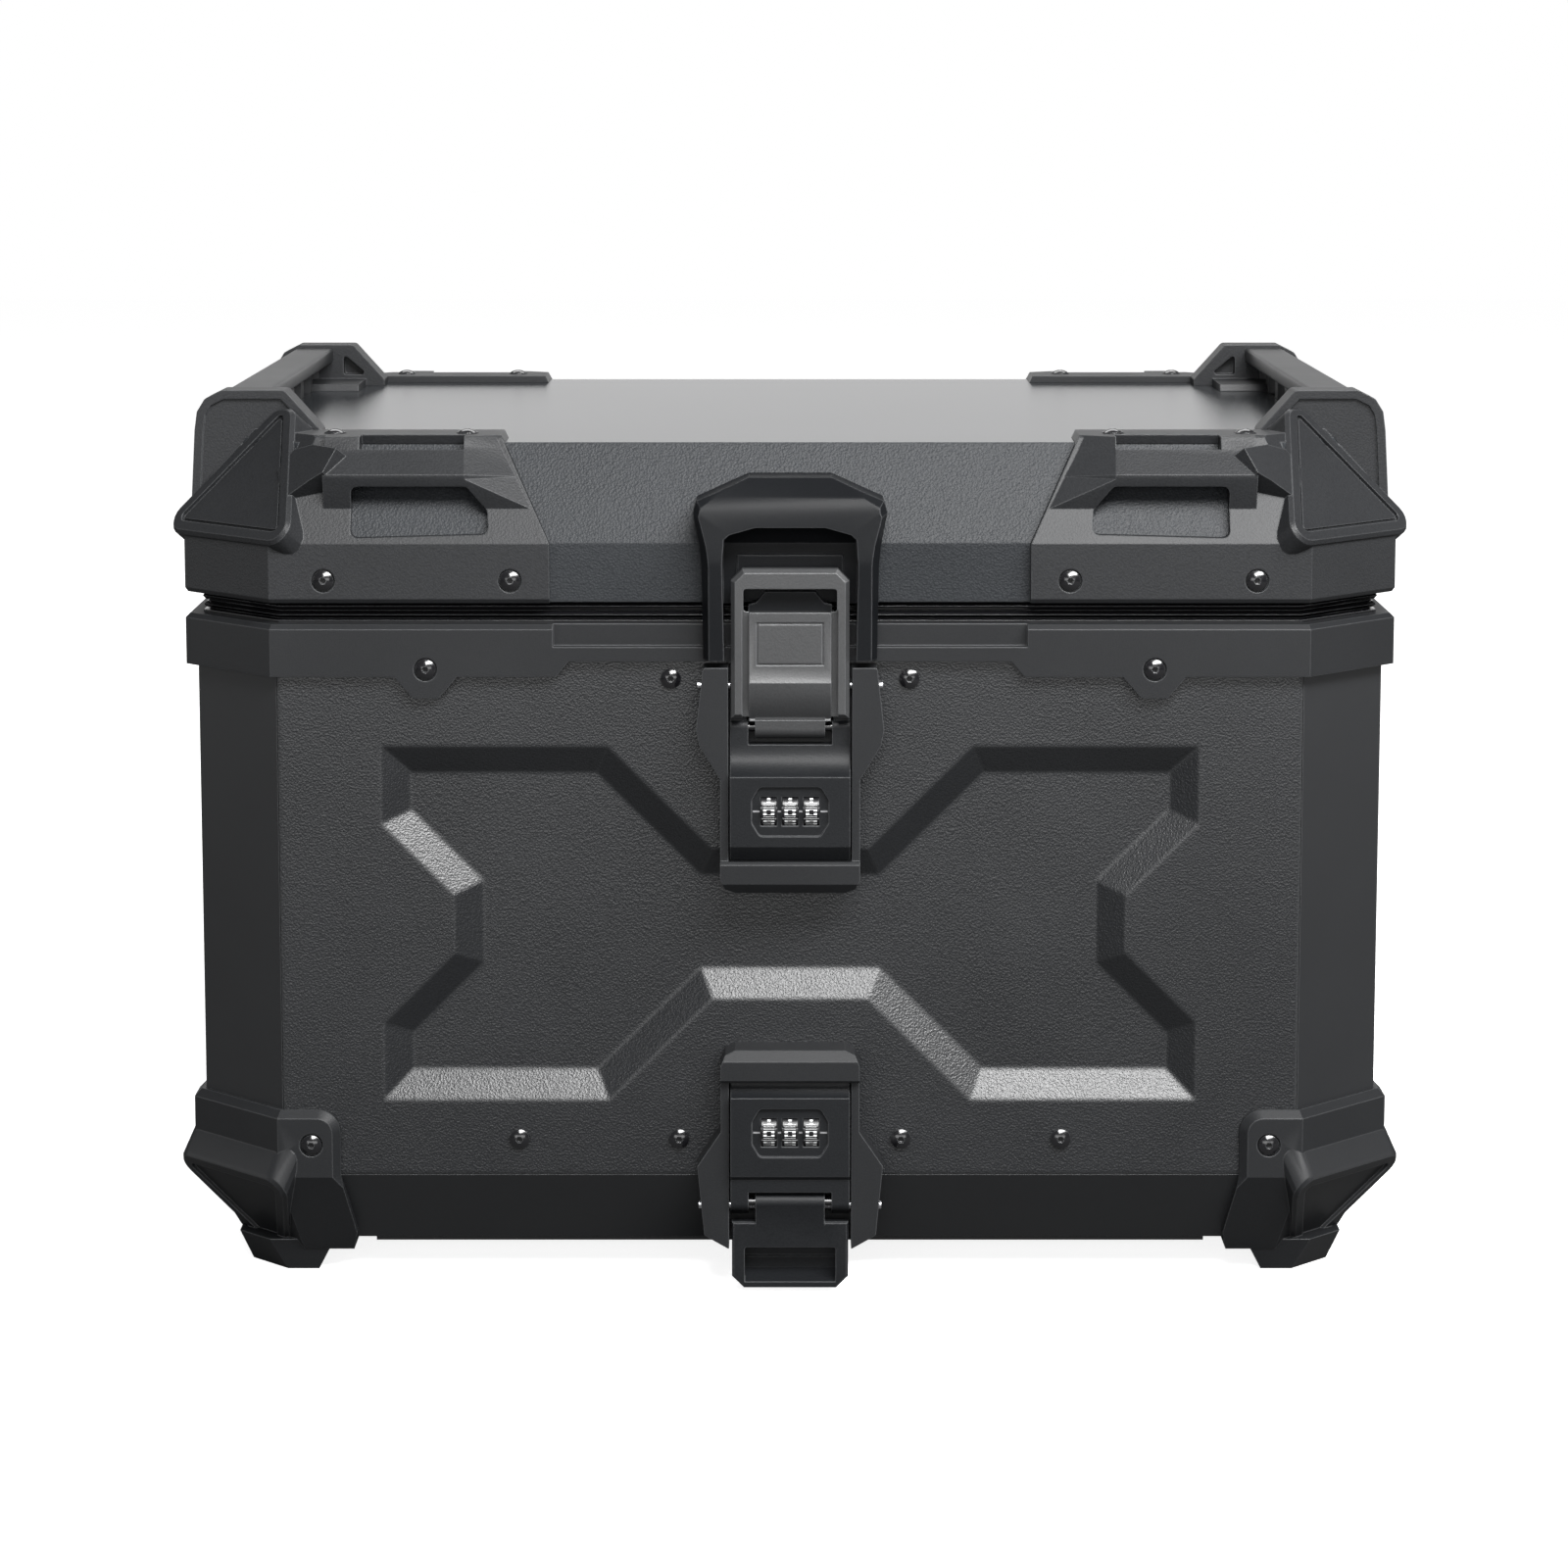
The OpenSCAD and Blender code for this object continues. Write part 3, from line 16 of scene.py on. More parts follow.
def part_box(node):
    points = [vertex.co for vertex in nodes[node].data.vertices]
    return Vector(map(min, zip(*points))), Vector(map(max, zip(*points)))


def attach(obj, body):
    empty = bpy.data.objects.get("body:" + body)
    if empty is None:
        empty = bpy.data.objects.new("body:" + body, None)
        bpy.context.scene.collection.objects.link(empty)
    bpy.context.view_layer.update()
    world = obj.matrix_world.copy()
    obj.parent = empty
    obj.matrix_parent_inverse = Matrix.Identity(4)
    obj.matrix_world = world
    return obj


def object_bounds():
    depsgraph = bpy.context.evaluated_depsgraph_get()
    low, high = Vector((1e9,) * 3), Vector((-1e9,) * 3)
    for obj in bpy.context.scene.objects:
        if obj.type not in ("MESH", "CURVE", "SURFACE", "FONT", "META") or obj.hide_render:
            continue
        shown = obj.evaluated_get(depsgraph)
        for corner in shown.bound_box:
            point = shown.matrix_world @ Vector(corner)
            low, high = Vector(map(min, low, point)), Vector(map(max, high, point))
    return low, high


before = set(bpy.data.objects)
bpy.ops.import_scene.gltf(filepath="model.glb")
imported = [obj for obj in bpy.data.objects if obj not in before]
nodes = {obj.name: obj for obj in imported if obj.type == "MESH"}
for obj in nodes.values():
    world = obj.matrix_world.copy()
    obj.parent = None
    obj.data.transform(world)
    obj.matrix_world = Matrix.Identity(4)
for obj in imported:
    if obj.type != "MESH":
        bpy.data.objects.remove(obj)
cad_box = [[float(v) for v in corner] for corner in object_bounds()]

# %% [markdown]
# ## Building a piece
# The floor and the few pieces that the CAD solids do not have are each drawn as a bmesh, Blender's editable
# mesh. Two helpers save repeating the rest. One closes the space between two outlines into a solid. The other
# turns a bmesh into an object with a material.

# %% Mesh helpers
def close_between(bm, first, second):
    """Faces of a solid between two matching rings of vertices: the sides, then a lid on each ring."""
    count = len(first)
    for k in range(count):
        n = (k + 1) % count
        bm.faces.new([first[k], first[n], second[n], second[k]])
    bm.faces.new(first[::-1])
    bm.faces.new(second)
    bmesh.ops.recalc_face_normals(bm, faces=bm.faces[:])


def make_object(name, bm, material):
    """Object made from a bmesh, linked to the scene, with one material."""
    mesh = bpy.data.meshes.new(name)
    bm.to_mesh(mesh)
    bm.free()
    mesh.materials.append(material)
    made = bpy.data.objects.new(name, mesh)
    bpy.context.scene.collection.objects.link(made)
    return made


print("helpers ready")

# %% [markdown]
# ## Camera
# A product picture of a case is taken from a little above its lid. A long lens from 1.6 m keeps the walls
# almost upright while the lid's rear edge still draws in. Tilting a camera down makes upright walls lean, and
# shifting the lens instead keeps them upright. A small shift shares the work with a small tilt, so the walls
# stay near enough upright and the object stays near the middle from every other side too.

# %% Camera
lens_mm, tilt_down = 96.75, 7.647
camera_data = bpy.data.cameras.new("product_camera")
camera_data.sensor_width = 36.0
camera_data.lens = lens_mm
camera_data.shift_y = -0.1
camera = bpy.data.objects.new("product_camera", camera_data)
camera.location = (-0.0021, -1.5967, 0.4246)
camera.rotation_euler = (math.radians(90 - tilt_down), 0.0, 0.0)
bpy.context.scene.collection.objects.link(camera)
bpy.context.scene.camera = camera
print("camera at", tuple(round(v, 3) for v in camera.location), "lens", camera_data.lens, "mm")

# %% [markdown]
# ## Studio
# Black plastic shows its shape only through what it reflects. The room is white to the camera, but to the
# object it is dim, because a black surface that mirrors a white room on every side turns flat grey. Six
# lamps give the shape instead: a soft box high in front, whose reflection runs along every edge and slope that
# faces up, a low wide card in front, which the upright walls mirror near their top, a soft box high behind,
# a low wide card far behind, which the lid's top mirrors at a grazing angle, and a weak card on each side for
# the corner faces. Light Path's camera output separates what is seen from what gives light.

# %% World and lights
def camera_only(tree):
    """Socket that is 1 for what the camera sees directly and 0 for everything that lights the object."""
    return tree.nodes.new("ShaderNodeLightPath").outputs["Is Camera Ray"]


def white_room(fill):
    """World that is white to the camera and gives only a weak fill to the object."""
    world = bpy.data.worlds.new("white_room")
    world.use_nodes = True
    tree = world.node_tree
    tree.nodes.clear()
    out = tree.nodes.new("ShaderNodeOutputWorld")
    seen = tree.nodes.new("ShaderNodeBackground")
    seen.inputs["Color"].default_value = (1, 1, 1, 1)
    seen.inputs["Strength"].default_value = 1.0
    lit = tree.nodes.new("ShaderNodeBackground")
    lit.inputs["Color"].default_value = (1, 1, 1, 1)
    lit.inputs["Strength"].default_value = fill
    mix = tree.nodes.new("ShaderNodeMixShader")
    tree.links.new(camera_only(tree), mix.inputs[0])
    tree.links.new(lit.outputs[0], mix.inputs[1])
    tree.links.new(seen.outputs[0], mix.inputs[2])
    tree.links.new(mix.outputs[0], out.inputs["Surface"])
    bpy.context.scene.world = world
    return world


def soft_box(name, place, aim, size, power):
    """Area lamp at place that points at aim."""
    data = bpy.data.lights.new(name, "AREA")
    data.shape = "RECTANGLE"
    data.size, data.size_y = size
    data.energy = power
    lamp = bpy.data.objects.new(name, data)
    lamp.visible_camera = False
    lamp.location = place
    lamp.rotation_euler = (Vector(aim) - Vector(place)).to_track_quat("-Z", "Y").to_euler()
    bpy.context.scene.collection.objects.link(lamp)
    return lamp


white_room(fill=0.15)
middle, shoulder, upper = (0.0, 0.0, 0.12), (0.0, 0.0, 0.2), (0.0, 0.0, 0.3)
soft_box("front_box", (0.5, -1.05, 1.22), middle, (1.5, 0.5), 60)
soft_box("front_card", (0.0, -2.2, 0.5), upper, (3.2, 0.7), 20)
soft_box("rear_box", (0.0, 1.2, 1.5), middle, (1.4, 0.6), 10)
soft_box("rear_card", (0.0, 2.4, 0.5), upper, (3.0, 0.7), 7)
for side in (-1, 1):
    soft_box("side_card", (2.2 * side, -0.1, 0.45), shoulder, (1.4, 0.9), 5)
bpy.context.scene.view_settings.view_transform = "Standard"
print("world and six lamps ready")

# %% [markdown]
# ## Floor
# The floor is one pale sheet that fades into the white room. It is stage, not part of the object, and it
# keeps the case's soft contact shadow. As with the room, the object sees a darker floor than the camera does,
# so that the lower walls stay black.

# %% Floor
FLOOR_FOR_LIGHT, FLOOR_FOR_CAMERA, FLOOR_GLOW = 0.11, 0.86, 0.85


def floor_paint():
    """Matt white to the camera, dark grey to everything that lights the object."""
    material = bpy.data.materials.new("studio_white")
    material.use_nodes = True
    tree = material.node_tree
    shader = tree.nodes["Principled BSDF"]
    shader.inputs["Roughness"].default_value = 0.9
    shader.inputs["Specular IOR Level"].default_value = 0.0
    paint = tree.nodes.new("ShaderNodeMix")
    paint.data_type = "RGBA"
    paint.inputs["A"].default_value = (FLOOR_FOR_LIGHT,) * 3 + (1,)
    paint.inputs["B"].default_value = (FLOOR_FOR_CAMERA,) * 3 + (1,)
    tree.links.new(camera_only(tree), paint.inputs["Factor"])
    tree.links.new(paint.outputs["Result"], shader.inputs["Base Color"])
    glow = tree.nodes.new("ShaderNodeEmission")
    glow.inputs["Color"].default_value = (1, 1, 1, 1)
    scale = tree.nodes.new("ShaderNodeMath")
    scale.operation = "MULTIPLY"
    scale.inputs[1].default_value = FLOOR_GLOW
    tree.links.new(camera_only(tree), scale.inputs[0])
    tree.links.new(scale.outputs[0], glow.inputs["Strength"])
    add = tree.nodes.new("ShaderNodeAddShader")
    out = tree.nodes["Material Output"]
    tree.links.new(shader.outputs[0], add.inputs[0])
    tree.links.new(glow.outputs[0], add.inputs[1])
    tree.links.new(add.outputs[0], out.inputs["Surface"])
    return material


def pale_floor(half_size, z):
    """Square sheet under the object, which is stage and not part of it."""
    bm = bmesh.new()
    bmesh.ops.create_grid(bm, x_segments=1, y_segments=1, size=half_size)
    floor = make_object("studio_floor", bm, floor_paint())
    floor.location = (0, 0, z)
    return floor


pale_floor(6.0, cad_box[0][2] - 0.0002)
print("floor at z =", round(cad_box[0][2], 4))

# %% [markdown]
# ## Shared effects
# Three effects come back in many finishes, so each is a node group built once. *wrinkle_grain* is the curled
# relief of a wrinkle powder coat: a warped cell pattern. *handling* is the faint unevenness of any touched
# surface: broad soft patches that change colour and roughness a little. *soft_edge* rolls the shading over
# razor-sharp CAD edges with a Bevel node, because nothing moulded or pressed is sharp and the thin bright
# lines along its edges are what makes black plastic readable. It also gives a mask of the edges, where the
# finishes paint a paler grey: a painted highlight that shows those lines under any light. A Bevel modifier
# could do it in real geometry, but it tears on the long thin triangles that a CAD solid comes with.

# %% Node group helpers
def new_group(name, inputs, outputs):
    """Empty shader group with float sockets; returns the group, its input node and its output node."""
    group = bpy.data.node_groups.new(name, "ShaderNodeTree")
    for label, value in inputs:
        socket = group.interface.new_socket(label, in_out="INPUT", socket_type="NodeSocketFloat")
        socket.default_value = value
    for label in outputs:
        group.interface.new_socket(label, in_out="OUTPUT", socket_type="NodeSocketFloat")
    start = group.nodes.new("NodeGroupInput")
    end = group.nodes.new("NodeGroupOutput")
    return group, start, end


def maths(tree, operation, a, b=None, clamp=False):
    """Math node; a and b are sockets or numbers. Returns its output."""
    node = tree.nodes.new("ShaderNodeMath")
    node.operation = operation
    node.use_clamp = clamp
    for socket, value in zip(node.inputs, (a, b)):
        if value is None:
            continue
        if isinstance(value, (int, float)):
            socket.default_value = value
        else:
            tree.links.new(value, socket)
    return node.outputs[0]


def noise(tree, vector, scale, detail=3.0, roughness=0.5):
    """Noise texture node; scale is a socket or a number."""
    node = tree.nodes.new("ShaderNodeTexNoise")
    node.inputs["Detail"].default_value = detail
    node.inputs["Roughness"].default_value = roughness
    tree.links.new(vector, node.inputs["Vector"])
    if isinstance(scale, (int, float)):
        node.inputs["Scale"].default_value = scale
    else:
        tree.links.new(scale, node.inputs["Scale"])
    return node


# %% Wrinkle grain group
def make_wrinkle_grain():
    """Relief of a wrinkle coat. Scale is cells per metre, Warp how far the cells are pulled about."""
    group, start, end = new_group("wrinkle_grain", [("Scale", 700.0), ("Warp", 0.0006)], ["Height", "Valley"])
    place = group.nodes.new("ShaderNodeTexCoord").outputs["Object"]
    drift = noise(group, place, maths(group, "MULTIPLY", start.outputs["Scale"], 0.8), 2.0)
    centred = group.nodes.new("ShaderNodeVectorMath")
    centred.operation = "SUBTRACT"
    group.links.new(drift.outputs["Color"], centred.inputs[0])
    centred.inputs[1].default_value = (0.5, 0.5, 0.5)
    pulled = group.nodes.new("ShaderNodeVectorMath")
    pulled.operation = "SCALE"
    group.links.new(centred.outputs[0], pulled.inputs[0])
    group.links.new(start.outputs["Warp"], pulled.inputs["Scale"])
    moved = group.nodes.new("ShaderNodeVectorMath")
    moved.operation = "ADD"
    group.links.new(place, moved.inputs[0])
    group.links.new(pulled.outputs[0], moved.inputs[1])
    cells = group.nodes.new("ShaderNodeTexVoronoi")
    cells.feature = "SMOOTH_F1"
    cells.inputs["Smoothness"].default_value = 0.6
    group.links.new(moved.outputs[0], cells.inputs["Vector"])
    group.links.new(start.outputs["Scale"], cells.inputs["Scale"])
    fine = noise(group, place, maths(group, "MULTIPLY", start.outputs["Scale"], 2.3), 2.0)
    bumps = maths(group, "MULTIPLY", cells.outputs["Distance"], 1.3)
    relief = maths(group, "ADD", maths(group, "MULTIPLY", fine.outputs["Fac"], 0.35), bumps)
    group.links.new(relief, end.inputs["Height"])
    group.links.new(maths(group, "SUBTRACT", 1.0, bumps, clamp=True), end.inputs["Valley"])
    return group


wrinkle_grain = make_wrinkle_grain()
outputs = [s.name for s in wrinkle_grain.interface.items_tree if s.in_out == "OUTPUT"]
print("group", wrinkle_grain.name, "outputs", outputs)

# %% Handling group
def make_handling():
    """Soft patches, 0 to 1, at Scale patches per metre, sharpened by Contrast."""
    group, start, end = new_group("handling", [("Scale", 14.0), ("Contrast", 1.0)], ["Patches"])
    place = group.nodes.new("ShaderNodeTexCoord").outputs["Object"]
    broad = noise(group, place, start.outputs["Scale"], 5.0, 0.6)
    centred = maths(group, "SUBTRACT", broad.outputs["Fac"], 0.5)
    scaled = maths(group, "MULTIPLY", centred, start.outputs["Contrast"])
    group.links.new(maths(group, "ADD", scaled, 0.5, clamp=True), end.inputs["Patches"])
    return group


handling = make_handling()
print("group", handling.name)

# %% Soft edge group
EDGE_GAIN = 6.0


def make_soft_edge():
    """Normal that rolls over every hard edge within Radius metres, and a mask of where it does.

    The mask compares the rolled normal with the flat one. They differ little even at the edge itself, so the
    difference is multiplied by EDGE_GAIN.
    """
    group = bpy.data.node_groups.new("soft_edge", "ShaderNodeTree")
    radius = group.interface.new_socket("Radius", in_out="INPUT", socket_type="NodeSocketFloat")
    radius.default_value = 0.0005
    group.interface.new_socket("Normal", in_out="OUTPUT", socket_type="NodeSocketVector")
    group.interface.new_socket("Edge", in_out="OUTPUT", socket_type="NodeSocketFloat")
    start = group.nodes.new("NodeGroupInput")
    end = group.nodes.new("NodeGroupOutput")
    roll = group.nodes.new("ShaderNodeBevel")
    roll.samples = 6
    group.links.new(start.outputs["Radius"], roll.inputs["Radius"])
    group.links.new(roll.outputs["Normal"], end.inputs["Normal"])
    flat = group.nodes.new("ShaderNodeNewGeometry").outputs["Normal"]
    agree = group.nodes.new("ShaderNodeVectorMath")
    agree.operation = "DOT_PRODUCT"
    group.links.new(roll.outputs["Normal"], agree.inputs[0])
    group.links.new(flat, agree.inputs[1])
    turned = maths(group, "SUBTRACT", 1.0, agree.outputs["Value"])
    group.links.new(maths(group, "MULTIPLY", turned, EDGE_GAIN, clamp=True), end.inputs["Edge"])
    return group


soft_edge = make_soft_edge()
print("group", soft_edge.name)

# %% [markdown]
# ## Finishes
# Each finish is a Principled shader. Colour, roughness and relief come from the shared groups, with each
# finish's own scale, and constants such as IOR stay on the shader's own sockets.

# %% Finish helpers
def place_group(tree, group, **values):
    """Group node with its inputs set by name."""
    node = tree.nodes.new("ShaderNodeGroup")
    node.node_tree = group
    for label, value in values.items():
        node.inputs[label].default_value = value
    return node


def blend_colours(tree, factor, low, high):
    """Colour between low and high, as factor goes from 0 to 1."""
    node = tree.nodes.new("ShaderNodeMix")
    node.data_type = "RGBA"
    tree.links.new(factor, node.inputs["Factor"])
    node.inputs["A"].default_value = (*low, 1)
    node.inputs["B"].default_value = (*high, 1)
    return node.outputs["Result"]


def spread(tree, factor, low, high):
    """Maps 0..1 to low..high."""
    node = tree.nodes.new("ShaderNodeMapRange")
    tree.links.new(factor, node.inputs["Value"])
    node.inputs["To Min"].default_value = low
    node.inputs["To Max"].default_value = high
    return node.outputs["Result"]


def relief(tree, height, distance, rolled):
    """Bump of the given depth on top of the rolled edges."""
    node = tree.nodes.new("ShaderNodeBump")
    node.inputs["Distance"].default_value = distance
    tree.links.new(height, node.inputs["Height"])
    tree.links.new(rolled, node.inputs["Normal"])
    return node.outputs["Normal"]


def facing_up(tree):
    """Mask: 1 where the surface faces straight up, 0 on walls and slopes."""
    normal = tree.nodes.new("ShaderNodeNewGeometry").outputs["True Normal"]
    split = tree.nodes.new("ShaderNodeSeparateXYZ")
    tree.links.new(normal, split.inputs[0])
    ramp = tree.nodes.new("ShaderNodeMapRange")
    ramp.inputs["From Min"].default_value = 0.85
    ramp.inputs["From Max"].default_value = 0.98
    tree.links.new(split.outputs["Z"], ramp.inputs["Value"])
    return ramp.outputs["Result"]


GLOSS_SWAY = 0.04  # how far handling moves the roughness up or down
TOP_SHEEN = 0.2  # how much smoother a smooth top is than the walls
PAINTED_HIGHLIGHT_SHARE = 0.8  # how much of the painted highlight grey an edge takes on


def coated(name, dark, light, rough, grain, specular, edge=0.0005, painted_highlight=0.11, smooth_top=False):
    """Black coating or moulding with a grain: dark in its valleys, uneven in gloss.

    grain is its scale (cells per metre), its depth and its warp (both in metres), edge the radius of the
    rolled edges, and the argument after it the pale grey that is painted on those edges as a painted highlight.
    """
    material = bpy.data.materials.new(name)
    material.use_nodes = True
    tree = material.node_tree
    shader = tree.nodes["Principled BSDF"]
    shader.inputs["Specular IOR Level"].default_value = specular
    scale, depth, warp = grain
    wrinkles = place_group(tree, wrinkle_grain, Scale=scale, Warp=warp)
    height, valley = wrinkles.outputs["Height"], wrinkles.outputs["Valley"]
    patches = place_group(tree, handling, Scale=14.0, Contrast=1.6).outputs["Patches"]
    sway = spread(tree, patches, -GLOSS_SWAY, GLOSS_SWAY)
    if smooth_top:
        top = facing_up(tree)
        rest = maths(tree, "SUBTRACT", 1.0, top)
        height = maths(tree, "MULTIPLY", height, rest)
        valley = maths(tree, "MULTIPLY", valley, rest)
        sway = maths(tree, "MULTIPLY", sway, rest)
        sway = maths(tree, "SUBTRACT", sway, maths(tree, "MULTIPLY", top, TOP_SHEEN))
    tone = maths(tree, "ADD", maths(tree, "MULTIPLY", valley, 0.5), maths(tree, "MULTIPLY", patches, 0.5))
    rolled = place_group(tree, soft_edge, Radius=edge)
    # The edges take a paler grey over the tone: a painted highlight that stands in for the lit lines along every
    # edge.
    colour = tree.nodes.new("ShaderNodeMix")
    colour.data_type = "RGBA"
    tree.links.new(maths(tree, "MULTIPLY", rolled.outputs["Edge"], PAINTED_HIGHLIGHT_SHARE), colour.inputs["Factor"])
    tree.links.new(blend_colours(tree, tone, dark, light), colour.inputs["A"])
    colour.inputs["B"].default_value = (painted_highlight, painted_highlight * 1.03, painted_highlight * 1.07, 1)
    tree.links.new(colour.outputs["Result"], shader.inputs["Base Color"])
    tree.links.new(maths(tree, "ADD", sway, rough), shader.inputs["Roughness"])
    tree.links.new(relief(tree, height, depth, rolled.outputs["Normal"]), shader.inputs["Normal"])
    return material


# %% Coated metal
wrinkle_coat = coated("wrinkle_coat", (0.0033, 0.0038, 0.0046), (0.0098, 0.0108, 0.0126), rough=0.36,
                      grain=(1400, 0.000085, 0.0007), specular=0.68, edge=0.0022, painted_highlight=0.045)
lid_coat = coated("lid_coat", (0.014, 0.0153, 0.0172), (0.034, 0.0368, 0.0402), rough=0.42,
                  grain=(1300, 0.00011, 0.0007), specular=0.17, edge=0.0012, painted_highlight=0.08, smooth_top=True)
satin_coat = coated("satin_coat", (0.012, 0.0125, 0.0135), (0.017, 0.018, 0.0195), rough=0.42,
                    grain=(2600, 0.000006, 0.0002), specular=0.4, painted_highlight=0.07)
black_oxide = coated("black_oxide", (0.004, 0.004, 0.005), (0.008, 0.008, 0.009), rough=0.16,
                     grain=(3000, 0.000003, 0.0002), specular=0.8, edge=0.0003)

# %% Mouldings and rubber
guard_black = coated("guard_black", (0.011, 0.0115, 0.0126), (0.022, 0.023, 0.0248), rough=0.44,
                     grain=(1400, 0.00004, 0.0005), specular=0.28, edge=0.0006, painted_highlight=0.075)
moulded_black = coated("moulded_black", (0.009, 0.0095, 0.0105), (0.016, 0.0168, 0.0182), rough=0.44,
                       grain=(2200, 0.000012, 0.0003), specular=0.28, edge=0.0006, painted_highlight=0.085)
hood_black = coated("hood_black", (0.004, 0.0044, 0.0052), (0.008, 0.0087, 0.0099), rough=0.38,
                    grain=(2200, 0.000010, 0.0003), specular=0.12, edge=0.0007, painted_highlight=0.09)
lock_black = coated("lock_black", (0.006, 0.0065, 0.0075), (0.012, 0.013, 0.0145), rough=0.44,
                    grain=(1500, 0.000020, 0.0004), specular=0.2, edge=0.0006, painted_highlight=0.09)
bail_black = coated("bail_black", (0.021, 0.0215, 0.0225), (0.038, 0.039, 0.0405), rough=0.40,
                    grain=(1500, 0.000020, 0.0004), specular=0.7, painted_highlight=0.14)
seal_rubber = coated("seal_rubber", (0.003, 0.003, 0.0035), (0.006, 0.006, 0.007), rough=0.2,
                     grain=(1500, 0.000005, 0.0003), specular=0.4, edge=0.0003)
wheel_black = coated("wheel_black", (0.004, 0.004, 0.005), (0.008, 0.008, 0.009), rough=0.25,
                     grain=(3000, 0.000003, 0.0002), specular=0.4, edge=0.0002)
print("black finishes ready")

# %% [markdown]
# ## Steel
# The pins are plain turned steel. Turning leaves fine rings, so the grain is stretched along X, the axis of
# every pin, by scaling the coordinates before the noise.

# %% Steel finish
def turned_steel():
    """Bare steel with fine rings round the X axis."""
    material = bpy.data.materials.new("turned_steel")
    material.use_nodes = True
    tree = material.node_tree
    shader = tree.nodes["Principled BSDF"]
    shader.inputs["Metallic"].default_value = 1.0
    place = tree.nodes.new("ShaderNodeTexCoord").outputs["Object"]
    stretch = tree.nodes.new("ShaderNodeMapping")
    stretch.inputs["Scale"].default_value = (6000, 60, 60)
    tree.links.new(place, stretch.inputs["Vector"])
    rings = noise(tree, stretch.outputs["Vector"], 1.0, 2.0)
    tree.links.new(blend_colours(tree, rings.outputs["Fac"], (0.5, 0.5, 0.52), (0.7, 0.7, 0.72)),
                   shader.inputs["Base Color"])
    tree.links.new(spread(tree, rings.outputs["Fac"], 0.2, 0.34), shader.inputs["Roughness"])
    return material


steel = turned_steel()
print("steel ready")

# %% [markdown]
# ## Dressing the CAD solids
# Three things keep a CAD solid's faces crisp. A Weld modifier joins the corners that its triangles share. A
# small geometry node group shades the faces smoothly across every gentle bend and keeps the hard edges hard,
# with the limit set for each kind of piece. A Weighted Normal modifier keeps the flat faces flat. The edges
# themselves are rounded by the finish, with the *soft_edge* group above.

# %% Shading by angle
def make_shade_by_angle():
    """Geometry group: smooth shading, except across edges that bend more than Angle (radians)."""
    group = bpy.data.node_groups.new("shade_by_angle", "GeometryNodeTree")
    group.interface.new_socket("Geometry", in_out="INPUT", socket_type="NodeSocketGeometry")
    limit = group.interface.new_socket("Angle", in_out="INPUT", socket_type="NodeSocketFloat")
    limit.default_value = math.radians(30)
    group.interface.new_socket("Geometry", in_out="OUTPUT", socket_type="NodeSocketGeometry")
    start = group.nodes.new("NodeGroupInput")
    end = group.nodes.new("NodeGroupOutput")
    bend = group.nodes.new("GeometryNodeInputMeshEdgeAngle")
    hard = group.nodes.new("FunctionNodeCompare")
    hard.operation = "GREATER_THAN"
    group.links.new(bend.outputs["Unsigned Angle"], hard.inputs[0])
    group.links.new(start.outputs["Angle"], hard.inputs[1])
    faces = group.nodes.new("GeometryNodeSetShadeSmooth")
    faces.domain = "FACE"
    edges = group.nodes.new("GeometryNodeSetShadeSmooth")
    edges.domain = "EDGE"
    edges.inputs["Shade Smooth"].default_value = False
    group.links.new(start.outputs["Geometry"], faces.inputs["Geometry"])
    group.links.new(faces.outputs["Geometry"], edges.inputs["Geometry"])
    group.links.new(hard.outputs[0], edges.inputs["Selection"])
    group.links.new(edges.outputs["Geometry"], end.inputs["Geometry"])
    return group, limit.identifier


shade_by_angle, angle_socket = make_shade_by_angle()
print("group", shade_by_angle.name)

# %% Dressing helper
WELD_WITHIN = 0.00001


def dress(names, material, smooth_below=22):
    """Gives CAD nodes their finish; edges that bend less than smooth_below degrees are shaded smoothly."""
    for name in names:
        piece = nodes[name]
        piece.data.materials.clear()
        piece.data.materials.append(material)
        weld = piece.modifiers.new("weld", "WELD")
        weld.merge_threshold = WELD_WITHIN
        shade = piece.modifiers.new("shade_by_angle", "NODES")
        shade.node_group = shade_by_angle
        shade[angle_socket] = math.radians(smooth_below)
        even = piece.modifiers.new("flat_faces", "WEIGHTED_NORMAL")
        even.keep_sharp = True
        even.weight = 60


def named(*parts):
    """CAD nodes whose names hold one of these words."""
    return [n for n in sorted(nodes) if any(p in n for p in parts)]


# %% Panels and coated sheet
dress(["front_panel", "rear_panel", "left_panel", "right_panel"], wrinkle_coat, 12)
dress(["lid_shell"], lid_coat, 12)
dress(["bottom_pan", *named("pillar")], satin_coat, 20)
dress(["left_rail", "right_rail"], satin_coat)
print("sheet parts dressed")

# %% Mouldings
dress([n for n in named("lid_guard") if "screws" not in n], guard_black)
dress([n for n in named("foot_guard") if "screws" not in n], moulded_black)
dress(["top_rim", "dock_plate", *named("latch_base", "hinge_leaves")], moulded_black)
dress(["latch_hood", "lid_catch"], hood_black)
dress(["top_lock_block", "bottom_lock_block", "bottom_hook"], lock_black)
dress(["top_bail"], bail_black)
dress(["rim_seal"], seal_rubber, 40)
dress(["latch_back_plates"], black_oxide)
print("mouldings dressed")

# %% Screws, pins and wheels
dress(named("screws"), black_oxide, 40)
dress(named("link_pin", "axle"), black_oxide, 40)
dress(named("pivot_pin", "hinge_pins"), steel, 40)
dress(named("wheel"), wheel_black, 40)
print("small parts dressed")

# %% [markdown]
# ## Numbers on the lock wheels
# Each lock wheel carries the numbers 0 to 9, printed in white in a square bold face. They could be an image
# wrapped round the wheel, but real geometry stays crisp at any distance. Each number is drawn on a small grid
# of five columns and five rows whose outer and middle strips are one stroke wide, and the filled cells are
# wrapped round the wheel's own radius. Cells that touch share their corners, so no two faces overlap.

